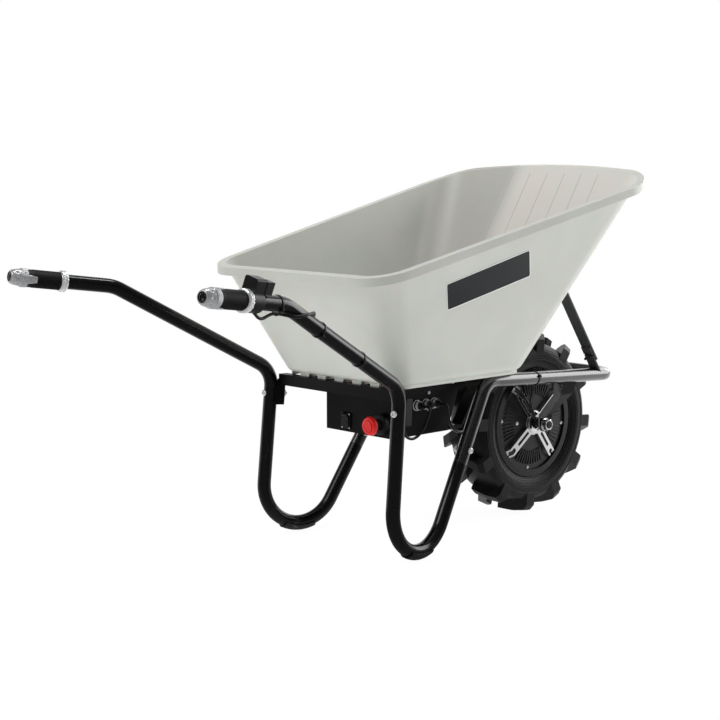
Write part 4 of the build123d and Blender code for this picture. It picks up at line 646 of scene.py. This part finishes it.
def makeTyreSides(setup):
    bm = bmesh.new()
    arcX, arcY, arcR = circleThrough(*setup["arc"])
    crowns, steps, ringSink = setup["crownSteps"], setup["bladeSteps"], setup["ringSink"]
    start, end, halfBlade, bladeHigh = setup["blade"]
    top, sink = setup["bladeTop"] * halfBlade, -setup["bladeSink"]

    def wallAt(r):
        return arcY + math.sqrt(arcR * arcR - (r - arcX) ** 2)

    for side in (1, -1):
        place = standOn(setup["centre"], (0, side, 0))
        for ringR, half, high in setup["rings"]:
            arch = [math.pi * i / crowns for i in range(crowns + 1)]
            crown = [(ringR + half * math.cos(t), wallAt(ringR) + high * math.sin(t)) for t in arch]
            foot = [(r, wallAt(r) - ringSink) for r in (ringR - half, ringR + half)]
            turned(bm, crown + foot, place, setup["ringSteps"])
        for i in range(setup["blades"]):
            angle = 2 * math.pi * i / setup["blades"]
            out = turnedPoint(1.0, angle, 0.0)
            across = turnedPoint(1.0, angle + math.pi / 2, 0.0)
            rows = []
            for k in range(steps + 1):
                r = start + (end - start) * k / steps
                rise = bladeHigh if 0 < k < steps else 0.0
                spots = ((-halfBlade, sink), (-top, rise), (top, rise), (halfBlade, sink))
                rows.append([bm.verts.new(place @ (out * r + across * s + Vector((0, 0, wallAt(r) + h))))
                             for s, h in spots])
            joinRows(bm, rows)
            bm.faces.new(rows[0])
            bm.faces.new(rows[-1])
    newPiece("tyre_side_rings", bm, "tyreRubber", "wheel", sharp=50.0)


makeTyreSides(tyreSide)
print("tyre sides made")

# small pale plug in the near hub cover, beside the wheel's boss
hubPlug = {
    "at": (-0.0547, 0.0034), "radius": 0.0036, "height": 0.0022, "sink": 0.0006, "rayFrom": -0.2,
    "collar": ((1.25, 0.25), (1.1, 0.35), (1.0, 0.4)),  # shares of radius and height
    "dome": (0.5, 0.9, 1.25, 1.45), "steps": 32,  # angles in radians
}


def makeHubPlug(setup):
    bm = bmesh.new()
    x, z = tyreSide["centre"][0] + setup["at"][0], tyreSide["centre"][2] + setup["at"][1]
    place, normal = surfaceAt("hub_cover_right", (x, setup["rayFrom"], z), (0, 1, 0))
    r, high = setup["radius"], setup["height"]
    foot = setup["collar"][-1][1]
    profile = [(setup["collar"][0][0] * r, -setup["sink"])]
    profile += [(wide * r, share * high) for wide, share in setup["collar"]]
    profile += [(r * math.cos(t), (foot + (1 - foot) * math.sin(t)) * high) for t in setup["dome"]]
    turned(bm, profile, standOn(place, normal), setup["steps"], closed=False)
    newPiece("hub_plug", bm, "zincPlate", "wheel")


makeHubPlug(hubPlug)
print("hub plug made")

# bare dark panel with a pale border on each side wall of the tub
sidePanel = {
    "corners": ((-0.0377, 0.5742), (0.1964, 0.6346), (0.2219, 0.5758), (-0.0139, 0.5169)),
    # x and z of the corners, from top left round
    "size": (0.2418, 0.0641),
    "corner": 0.006, "leastCorner": 0.0015, "perCorner": 8, "perSide": 24,
    "film": 0.0003, "sink": 0.0005, "rayFrom": 0.6,
    "loops": (1.0, 0.8, 0.6, 0.4, 0.2, 0.03),  # shares of the way from the middle to the edge
    "border": (0.0001, 0.0022), "borderRise": 1.6,  # inset of the pale line's edges, height in films
}


def panelPoint(setup, side, u, v, lift):
    # a point of the wall at u along the panel and v down it, in metres
    a, b, c, d = [Vector((x, z)) for x, z in setup["corners"]]
    s, t = u / setup["size"][0], v / setup["size"][1]
    flat = a.lerp(b, s).lerp(d.lerp(c, s), t)
    place, normal = surfaceAt("tub", (flat.x, side * setup["rayFrom"], flat.y), (0, -side, 0))
    return place + normal * lift


def roundedLoop(setup, inset):
    # points round a rectangle with rounded corners, inset from the panel's edge
    wide, high = setup["size"][0] - 2 * inset, setup["size"][1] - 2 * inset
    perCorner, perSide = setup["perCorner"], setup["perSide"]
    r = max(setup["corner"] - inset, setup["leastCorner"])
    quarter = 0.5 * math.pi
    right, low = wide - r, high - r
    corners = ((r, r, 2 * quarter), (right, r, 3 * quarter), (right, low, 0.0), (r, low, quarter))
    loop = []
    for i, (x, y, start) in enumerate(corners):
        for k in range(perCorner + 1):
            angle = start + quarter * k / perCorner
            loop.append((x + r * math.cos(angle), y + r * math.sin(angle)))
        nextX, nextY, nextStart = corners[(i + 1) % len(corners)]
        goal = (nextX + r * math.cos(nextStart), nextY + r * math.sin(nextStart))
        last = loop[-1]
        for k in range(1, perSide):
            loop.append(tuple(p + (q - p) * k / perSide for p, q in zip(last, goal)))
    return [(x + inset, y + inset) for x, y in loop]


def bandBetween(bm, loops):
    rows = [[bm.verts.new(p) for p in loop] for loop in loops]
    joinRows(bm, rows, closed=True)
    return rows


def makePanels(setup):
    bpy.context.view_layer.update()
    middle = Vector((setup["size"][0] / 2, setup["size"][1] / 2))
    edge = roundedLoop(setup, 0.0)
    outer, inner = [roundedLoop(setup, inset) for inset in setup["border"]]
    rise = setup["borderRise"] * setup["film"]
    for side, label in ((1, "left"), (-1, "right")):
        film, line = bmesh.new(), bmesh.new()
        loops = [[panelPoint(setup, side, *p, -setup["sink"]) for p in edge]]
        for share in setup["loops"]:
            spots = [middle.lerp(Vector(p), share) for p in edge]
            loops.append([panelPoint(setup, side, *p, setup["film"]) for p in spots])
        rows = bandBetween(film, loops)
        film.faces.new(rows[-1])
        lifts = ((outer, 0.0), (outer, rise), (inner, rise), (inner, 0.0))
        bandBetween(line, [[panelPoint(setup, side, *p, lift) for p in loop] for loop, lift in lifts])
        newPiece("side_panel_" + label, film, "panelFilm", "frame")
        newPiece("side_panel_border_" + label, line, "panelEdge", "frame")


makePanels(sidePanel)
print("side panels made")

# raised creases at the edges of the flutes inside the front wall, coloured darker than the tub as painted
# shade
crease = {
    "flutes": 6, "pitch": 0.052, "halfFlute": 0.0125, "low": 0.45, "high": 0.784, "steps": 40,
    "halfWide": 0.0011, "top": 0.4, "height": 0.0004, "sink": 0.0003,  # the top is a share of the width
    "rayFrom": 0.1,
}


def makeCreases(setup):
    bm = bmesh.new()
    low, high, steps, top = setup["low"], setup["high"], setup["steps"], setup["top"]
    section = ((-1.0, -setup["sink"]), (-top, setup["height"]), (top, setup["height"]), (1.0, -setup["sink"]))
    for i in range(setup["flutes"]):
        y = setup["pitch"] * (i - 0.5 * (setup["flutes"] - 1)) - setup["halfFlute"]
        rows = []
        for k in range(steps + 1):
            z = low + (high - low) * k / steps
            spots = []
            for across, lift in section:
                start = (setup["rayFrom"], y + across * setup["halfWide"], z)
                place, normal = surfaceAt("tub", start, (1, 0, 0))
                spots.append(bm.verts.new(place + normal * lift))
            rows.append(spots)
        joinRows(bm, rows)
    newPiece("flute_creases", bm, "tubCreasePaintedShade", "frame", sharp=60.0)


makeCreases(crease)
print("flute creases made")

# grips: axis from the rear end forward, lengths along it in metres, left hand mirrored for the right
grip = {
    "end": (-0.69755, 0.306376, 0.5935), "forward": (0.9745, -0.1822, -0.1309),
    "rubber": (0.0345, 0.1045), "rubberR": 0.0178,
}
gripDots = {
    "rows": 26, "round": 42, "radius": 0.00085, "high": 0.00045, "top": 0.62, "sink": 0.0001, "sides": 6,
    "from": 0.012, "spare": 0.0145,  # rubber left bare before the first row, and in all
}
gripCap = {
    "throat": (0.0076, 0.004),  # radius and depth of the hole in the end
    "nose": ((0.0078, 0.0004), (0.0086, 0.0), (0.0112, 0.0001), (0.0130, 0.0014), (0.0146, 0.0042),
             (0.0158, 0.0080), (0.0166, 0.0122), (0.0171, 0.0165), (0.0174, 0.0205)),  # radius, along
    "noseRim": 3, "noseSteps": 18,  # the nose is divided finely from this knot on
    "dents": 8, "dentAt": 0.0125, "dentLong": 0.0030, "dentWide": 0.17, "dentDeep": 0.0020,
    "sleeve": (0.0214, 0.0345, 0.0188), "sleeveEdge": 0.0006,  # from, to, radius
    "tongue": 0.018, "tongueWide": (0.34, 0.52),  # length, half angle at tip and root in radians
    "ridges": 60, "ridgeHigh": 0.00022, "ridgeFrom": 0.0012, "ridgeSpare": 0.002, "ridgeRows": 5,
    "stepsPerRidge": 6,
    "endEdge": 0.0003, "overRubber": 0.0002,  # the inside lies this far in the rubber
    "inside": (0.024, (0.0110, 0.010)),  # where the inside narrows, and to which radius and place
}
gripRing = {
    "along": (0.1045, 0.1185), "radius": 0.0225, "bore": 0.0179,
    "section": ((0.85, 0.0), (0.87, 0.04), (0.90, 0.06), (0.96, 0.1), (0.995, 0.2), (1.0, 0.3), (0.97, 0.42),
                (0.97, 0.58), (1.0, 0.7), (0.995, 0.8), (0.95, 0.92), (0.86, 1.0)),  # of radius and width
    "lobes": 18, "lobeDeep": 0.035, "lobeRows": (5, 11), "secondRow": 8, "stepsPerLobe": 8,
}
gripEye = {
    "ring": (0.0088, 0.0014), "flat": 0.8, "lift": 0.0002,  # middle radius, half thickness
    "ringSteps": 48,
    "plug": 0.0074, "plugSteps": 40,
    "plugShape": ((1.0, 0.006), (1.0, 0.0035), (0.8, 0.003), (0.55, 0.0042), (0.2, 0.0044)),
    # share of the plug's radius, along
}


def gripPlace(side, along):
    end, way = Vector(grip["end"]), Vector(grip["forward"]).normalized()
    end.y, way.y = side * end.y, side * way.y
    return standOn(end + way * along, way)


def makeGripDots(side, name, body, setup):
    # rows of small raised dots over the rubber
    bm = bmesh.new()
    start, end = grip["rubber"]
    place, sides = gripPlace(side, 0.0), setup["sides"]
    for row in range(setup["rows"]):
        z = start + setup["from"] + (end - start - setup["spare"]) * row / (setup["rows"] - 1)
        for k in range(setup["round"]):
            turn = 2 * math.pi * (k + 0.5 * (row % 2)) / setup["round"]
            rows = []
            for share, lift in ((1.0, -setup["sink"]), (setup["top"], setup["high"])):
                spots = []
                for m in range(sides):
                    a = 2 * math.pi * m / sides
                    r = grip["rubberR"] + lift
                    angle = turn + setup["radius"] * share * math.cos(a) / r
                    height = z + setup["radius"] * share * math.sin(a)
                    spots.append(bm.verts.new(place @ turnedPoint(r, angle, height)))
                rows.append(spots)
            joinRows(bm, rows, closed=True)
            bm.faces.new(rows[1])
    newPiece(name, bm, "gripRubber", body, sharp=60.0)


def capNose(setup):
    # the nose's outline, with its long curve divided finely
    rim = setup["noseRim"]
    knots = np.array(setup["nose"][rim:])
    heights = np.linspace(knots[0, 1], knots[-1, 1], setup["noseSteps"])[1:]
    fine = [(float(np.interp(z, knots[:, 1], knots[:, 0])), float(z)) for z in heights]
    return list(setup["nose"][:rim + 1]) + fine


def makeGripCap(side, node, body, turn, setup):
    # dented nose, ridged sleeve and two tongues over the rubber, in the place of the CAD cap
    bm = bmesh.new()
    place, nose = gripPlace(side, 0.0), capNose(setup)
    start, base, big = setup["sleeve"]
    tip, root = setup["tongueWide"]
    wall = grip["rubberR"] - setup["overRubber"]
    bevel, rowCount = setup["sleeveEdge"], setup["ridgeRows"]
    narrowAt, narrow = setup["inside"]
    spread, half = 2 * math.pi / setup["dents"], 0.5 * math.pi
    steps = setup["stepsPerRidge"] * setup["ridges"]
    rings = []
    for i in range(steps):
        angle = 2 * math.pi * i / steps
        off = abs((angle - turn + half) % math.pi - half)
        end = base + setup["tongue"] * min(1.0, max(0.0, (root - off) / (root - tip)))
        away = (angle - turn + 0.5 * spread) % spread - 0.5 * spread
        hollow = setup["dentDeep"] * math.exp(-(away / setup["dentWide"]) ** 2)
        ridge = big + setup["ridgeHigh"] * math.cos(setup["ridges"] * angle)
        profile = [setup["throat"]]
        for r, z in nose:
            profile.append((r - hollow * math.exp(-((z - setup["dentAt"]) / setup["dentLong"]) ** 2), z))
        profile += [(big - bevel, start), (big, start + bevel)]
        run = end - start - setup["ridgeSpare"]
        profile += [(ridge, start + setup["ridgeFrom"] + run * k / rowCount) for k in range(rowCount + 1)]
        profile += [(big - setup["endEdge"], end), (wall, end), (wall, narrowAt), narrow]
        rings.append([bm.verts.new(place @ turnedPoint(r, angle, z)) for r, z in profile])
    joinRings(bm, rings)
    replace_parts(newPiece(node + "_made", bm, "gripMetal", body, sharp=40.0), node)


def makeGripRing(side, node, body, setup):
    # a ring with two rows of shallow lobes, in the place of the CAD ring
    bm = bmesh.new()
    start, end = setup["along"]
    wide, big, bore = end - start, setup["radius"], setup["bore"]
    profile = [(bore, 0.0)] + [(r * big, share * wide) for r, share in setup["section"]] + [(bore, wide)]
    first, last = setup["lobeRows"]

    def lobed(j, radius, angle):
        shift = 0.5 * math.pi if j >= setup["secondRow"] else 0.0
        swing = abs(math.cos(setup["lobes"] * angle / 2 + shift))
        return radius * (1 - setup["lobeDeep"] * (1 - swing)) if first <= j <= last else radius

    turned(bm, profile, gripPlace(side, start), setup["lobes"] * setup["stepsPerLobe"], lobed)
    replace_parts(newPiece(node + "_made", bm, "brightPlate", body, sharp=24.0), node)


def makeGripEye(side, name, body, setup):
    # raised dark ring round the hole in the end cap, and the plug inside it
    bm = bmesh.new()
    ring = roundSection(*setup["ring"], setup["flat"])
    turned(bm, ring, gripPlace(side, setup["lift"]), setup["ringSteps"])
    plug = [(share * setup["plug"], along) for share, along in setup["plugShape"]]
    turned(bm, plug, gripPlace(side, 0.0), setup["plugSteps"], closed=False)
    newPiece(name, bm, "blackPlastic", body)


makeGripDots(1, "grip_dots_left", "frame", gripDots)
makeGripDots(-1, "grip_dots_right", "throttle", gripDots)
makeGripCap(1, "grip_cap_left", "frame", 0.1, gripCap)
makeGripCap(-1, "throttle_cap", "throttle", 0.5 * math.pi, gripCap)
makeGripRing(1, "grip_ring_left", "frame", gripRing)
makeGripRing(-1, "throttle_ring", "throttle", gripRing)
makeGripEye(1, "grip_eye_left", "frame", gripEye)
makeGripEye(-1, "grip_eye_right", "throttle", gripEye)
print("grips made")

# bright coupling rings on the three lead connectors
coupling = {
    "at": (0.029, 0.056, 0.0805), "z": 0.305, "wall": -0.1027,
    "flange": (0.0103, 0.0116, 0.0025, 0.0036),  # inner and outer radius, from and to off the wall
    "flangeSink": 0.0004, "flangeEdge": (0.0004, 0.0003), "flangeSteps": 64,
    "nut": (0.0090, 0.0098, 0.0068, 0.0128), "nutSink": 0.0003, "nutEdge": (0.0004, 0.0006),
    "knurls": 30, "knurlDeep": 0.05, "knurlSharp": 3, "stepsPerKnurl": 4,
}


def makeCouplings(setup):
    bm = bmesh.new()
    a, b, start, end = setup["flange"]
    (across, along), foot = setup["flangeEdge"], start - setup["flangeSink"]
    flange = [(a, foot), (b, foot), (b, end - along), (b - across, end), (a, end)]
    a, b, start, end = setup["nut"]
    (across, along), bore = setup["nutEdge"], a - setup["nutSink"]
    low, high, face = start + along, end - along, b - across
    nut = [(bore, start), (face, start), (b, low), (b, high), (face, end), (bore, end)]

    def knurled(j, radius, angle):
        wave = abs(math.sin(setup["knurls"] * angle / 2)) ** setup["knurlSharp"]
        return radius if radius == bore else radius * (1 - setup["knurlDeep"] * wave)

    for x in setup["at"]:
        place = standOn((x, setup["wall"], setup["z"]), (0, -1, 0))
        turned(bm, flange, place, setup["flangeSteps"])
        turned(bm, nut, place, setup["knurls"] * setup["stepsPerKnurl"], knurled)
    newPiece("coupling_rings", bm, "brightPlate", "frame")


makeCouplings(coupling)
print("couplings made")

# the stop's mushroom: dark band round its edge and a raised ring on its face
stopRing = {
    "axis": (-0.077, 0.270), "rayFrom": 0.05,
    "face": (0.0112, 0.0011), "flat": 0.7, "faceSteps": 64,  # middle radius and half thickness
    "band": (0.0006, 0.0048), "bandFrom": 0.0006, "bandAt": 0.0015,  # height and width, off the rear edge
    "bandSink": 0.0008, "bandEdge": 0.0008, "bandSteps": 72,
}


def makeStopRing(setup):
    y, z = setup["axis"]
    low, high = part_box("e_stop_head")
    rayFrom = setup["rayFrom"]
    bm = bmesh.new()
    face = surfaceAt("e_stop_head", (low[0] - rayFrom, y + setup["face"][0], z), (1, 0, 0))[0]
    ring = roundSection(*setup["face"], setup["flat"])
    turned(bm, ring, standOn((face.x, y, z), (-1, 0, 0)), setup["faceSteps"])
    newPiece("stop_face_ring", bm, "stopRed", "e_stop_head")
    bm = bmesh.new()
    lift, wide = setup["band"]
    rim = surfaceAt("e_stop_head", (high[0] - setup["bandAt"], y - rayFrom, z), (0, 1, 0))[0]
    r, edge = y - rim.y, setup["bandEdge"]
    inner, half, outer = r - setup["bandSink"], r + 0.5 * lift, r + lift
    band = [(inner, 0.0), (half, 0.0), (outer, edge), (outer, wide - edge), (half, wide), (inner, wide)]
    turned(bm, band, standOn((high[0] - setup["bandFrom"], y, z), (-1, 0, 0)), setup["bandSteps"])
    newPiece("stop_edge_band", bm, "stopDark", "e_stop_head")


makeStopRing(stopRing)
print("stop made")

# heads and cut tails of the cable ties
tie = {
    "head": (0.0062, 0.0052, 0.0046), "headEdge": 0.0006, "seat": 0.35,  # share of the head's height
    "tail": 0.004, "tailWide": 0.0026, "tailThick": 0.0011, "tailSteps": 8,
    "tailLift": (0.0008, 0.0016),  # at its root, and more at its end
    "facing": ((0, -0.9, -0.45), (0, -0.75, -0.7), (0, -0.9, -0.5), (0, -0.9, 0.4)), "rayFrom": 0.08,
}


def addBlock(bm, place, size, bevel):
    box = bmesh.ops.create_cube(bm, size=1.0)["verts"]
    for vertex in box:
        vertex.co = Vector([c * s for c, s in zip(vertex.co, size)])
    edges = list({edge for vertex in box for edge in vertex.link_edges})
    made = bmesh.ops.bevel(bm, geom=edges, offset=bevel, segments=2, profile=0.5, affect="EDGES")
    corners = {vertex for face in made["faces"] for vertex in face.verts} | {v for v in box if v.is_valid}
    for vertex in corners:
        vertex.co = place @ vertex.co


def makeTies(setup):
    bm = bmesh.new()
    headLong, headHigh = setup["head"][0], setup["head"][2]
    half, thick = 0.5 * setup["tailWide"], 0.5 * setup["tailThick"]
    corners = ((-half, -thick), (half, -thick), (half, thick), (-half, thick))
    root, curl = setup["tailLift"]
    bands = sorted(solidsOf("cable_ties"), key=lambda points: points[:, 0].mean())
    for points, facing in zip(bands, setup["facing"]):
        middle, axes, reach = axesOf(points)
        along = axes[int(np.argmin(reach))]
        out = Vector(facing)
        out = (out - along * out.dot(along)).normalized()
        place = surfaceAt("cable_ties", middle + out * setup["rayFrom"], -out)[0]
        turn = Matrix((along.cross(out), along, out)).transposed().to_4x4()
        spot = Matrix.Translation(place + out * (setup["seat"] * headHigh)) @ turn
        addBlock(bm, spot, setup["head"], setup["headEdge"])
        rows = []
        for i in range(setup["tailSteps"] + 1):
            share = i / setup["tailSteps"]
            x, lift = 0.5 * headLong + setup["tail"] * share, root + curl * share * share
            rows.append([bm.verts.new(spot @ Vector((x, s, lift + h))) for s, h in corners])
        joinRows(bm, rows, closed=True)
        bm.faces.new(rows[0])
        bm.faces.new(rows[-1])
    newPiece("tie_heads", bm, "blackPlastic", "frame")


makeTies(tie)
print("ties made")

# floor, light and background
studio = {
    "floorColor": (0.92, 0.92, 0.92), "floorRough": 0.9, "floorSpecular": 0.1,
    "floorHalf": 24.0, "floorDrop": 0.0005,
    "cameraSide": (-0.69, -0.72, 0.05),  # the dim side of the room
    "dim": 0.06, "far": 1.0, "top": 0.12,
    "roomSpan": (-0.15, 0.6), "backSpan": (-0.85, -0.3), "topSpan": (0.35, 0.75),
    "floorGlow": 0.66,  # the floor is a lit table under the object
    "floorDim": 0.12, "mirrorSpan": (-0.7, 0.2),  # and looks dimmer in the gloss of the near side
    "floorSeen": 0.88, "seenSpan": (0.5, 1.6),  # how far the seen floor is plain white
    "lamps": [  # name, place, target, size, watts
        ("strip", (0.1, 0.1, 2.4), (0.1, 0.1, 0.4), (1.7, 0.3), 21.0),
        ("front", (2.55, -1.05, 1.2), (0.5, -0.12, 0.33), (1.3, 1.8), 26.0),
        ("rear", (-2.6, 0.6, 2.6), (0.2, 0.0, 0.5), (1.8, 1.4), 29.0),
        ("nose", (2.9, 0.3, 1.1), (0.6, 0.0, 0.55), (1.0, 1.2), 10.0),
    ],
}


def seenRays(tree):
    rays = addNode(tree, "ShaderNodeLightPath")
    mirrored = mathNode(tree, "MAXIMUM", rays.outputs["Is Glossy Ray"], rays.outputs["Is Transmission Ray"])
    return rays.outputs["Is Camera Ray"], mirrored


def dressFloor(setup):
    material = bpy.data.materials.new("floorWhite")
    material.use_nodes = True
    tree = material.node_tree
    shader = tree.nodes["Principled BSDF"]
    shader.inputs["Base Color"].default_value = (*setup["floorColor"], 1.0)
    shader.inputs["Roughness"].default_value = setup["floorRough"]
    shader.inputs["Specular IOR Level"].default_value = setup["floorSpecular"]
    table, glow = [addNode(tree, "ShaderNodeEmission") for _ in range(2)]
    table.inputs["Strength"].default_value = setup["floorGlow"]
    lit = addNode(tree, "ShaderNodeAddShader")
    wire(tree, shader.outputs[0], lit.inputs[0])
    wire(tree, table.outputs[0], lit.inputs[1])
    coords = addNode(tree, "ShaderNodeTexCoord").outputs["Object"]
    seen = rampNode(tree, vectorNode(tree, "LENGTH", coords), *setup["seenSpan"], setup["floorSeen"], 1.0)
    toward = vectorNode(tree, "DOT_PRODUCT", coords, setup["cameraSide"])
    mirror = rampNode(tree, toward, *setup["mirrorSpan"], 1.0, setup["floorDim"])
    camera, mirrored = seenRays(tree)
    wire(tree, mixValue(tree, camera, mirror, 1.0), glow.inputs["Strength"])
    mix = addNode(tree, "ShaderNodeMixShader")
    plain = times(tree, seen, camera)
    wire(tree, mathNode(tree, "MAXIMUM", plain, mirrored), mix.inputs[0])
    wire(tree, lit.outputs[0], mix.inputs[1])
    wire(tree, glow.outputs[0], mix.inputs[2])
    wire(tree, mix.outputs[0], tree.nodes["Material Output"].inputs["Surface"])
    material.cycles.emission_sampling = "NONE"
    return material


def makeFloor(setup):
    bm = bmesh.new()
    bmesh.ops.create_grid(bm, x_segments=4, y_segments=4, size=setup["floorHalf"])
    mesh = bpy.data.meshes.new("floor")
    bm.to_mesh(mesh)
    bm.free()
    floor = bpy.data.objects.new("floor", mesh)
    intoScene(floor)
    floor.location.z = -setup["floorDrop"]
    mesh.materials.append(dressFloor(setup))


def makeWorld(setup):
    world = bpy.data.worlds.new("studio")
    bpy.context.scene.world = world
    world.use_nodes = True
    world.cycles.sampling_method = "NONE"
    tree = world.node_tree
    back = tree.nodes["Background"]
    back.inputs["Color"].default_value = (1, 1, 1, 1)
    way = addNode(tree, "ShaderNodeTexCoord").outputs["Generated"]
    toward = vectorNode(tree, "DOT_PRODUCT", way, setup["cameraSide"])
    overhead = rampNode(tree, splitNode(tree, way)["Z"], *setup["topSpan"])
    room = rampNode(tree, toward, *setup["roomSpan"], setup["far"], setup["dim"])
    room = mixValue(tree, overhead, room, setup["top"])
    backdrop = rampNode(tree, toward, *setup["backSpan"], 1.0, setup["dim"])
    backdrop = mixValue(tree, overhead, backdrop, setup["top"])
    camera, mirrored = seenRays(tree)
    strength = mixValue(tree, camera, mixValue(tree, mirrored, room, backdrop), 1.0)
    wire(tree, strength, back.inputs["Strength"])


def makeLamps(setup):
    for name, place, target, size, watts in setup["lamps"]:
        data = bpy.data.lights.new(name, "AREA")
        data.shape = "RECTANGLE"
        data.size, data.size_y = size
        data.energy = watts
        lamp = bpy.data.objects.new(name, data)
        intoScene(lamp)
        lamp.location = place
        lamp.rotation_euler = (Vector(target) - Vector(place)).to_track_quat("-Z", "Y").to_euler()


makeFloor(studio)
makeWorld(studio)
makeLamps(studio)
bpy.context.scene.view_settings.view_transform = "Standard"
print("studio made")
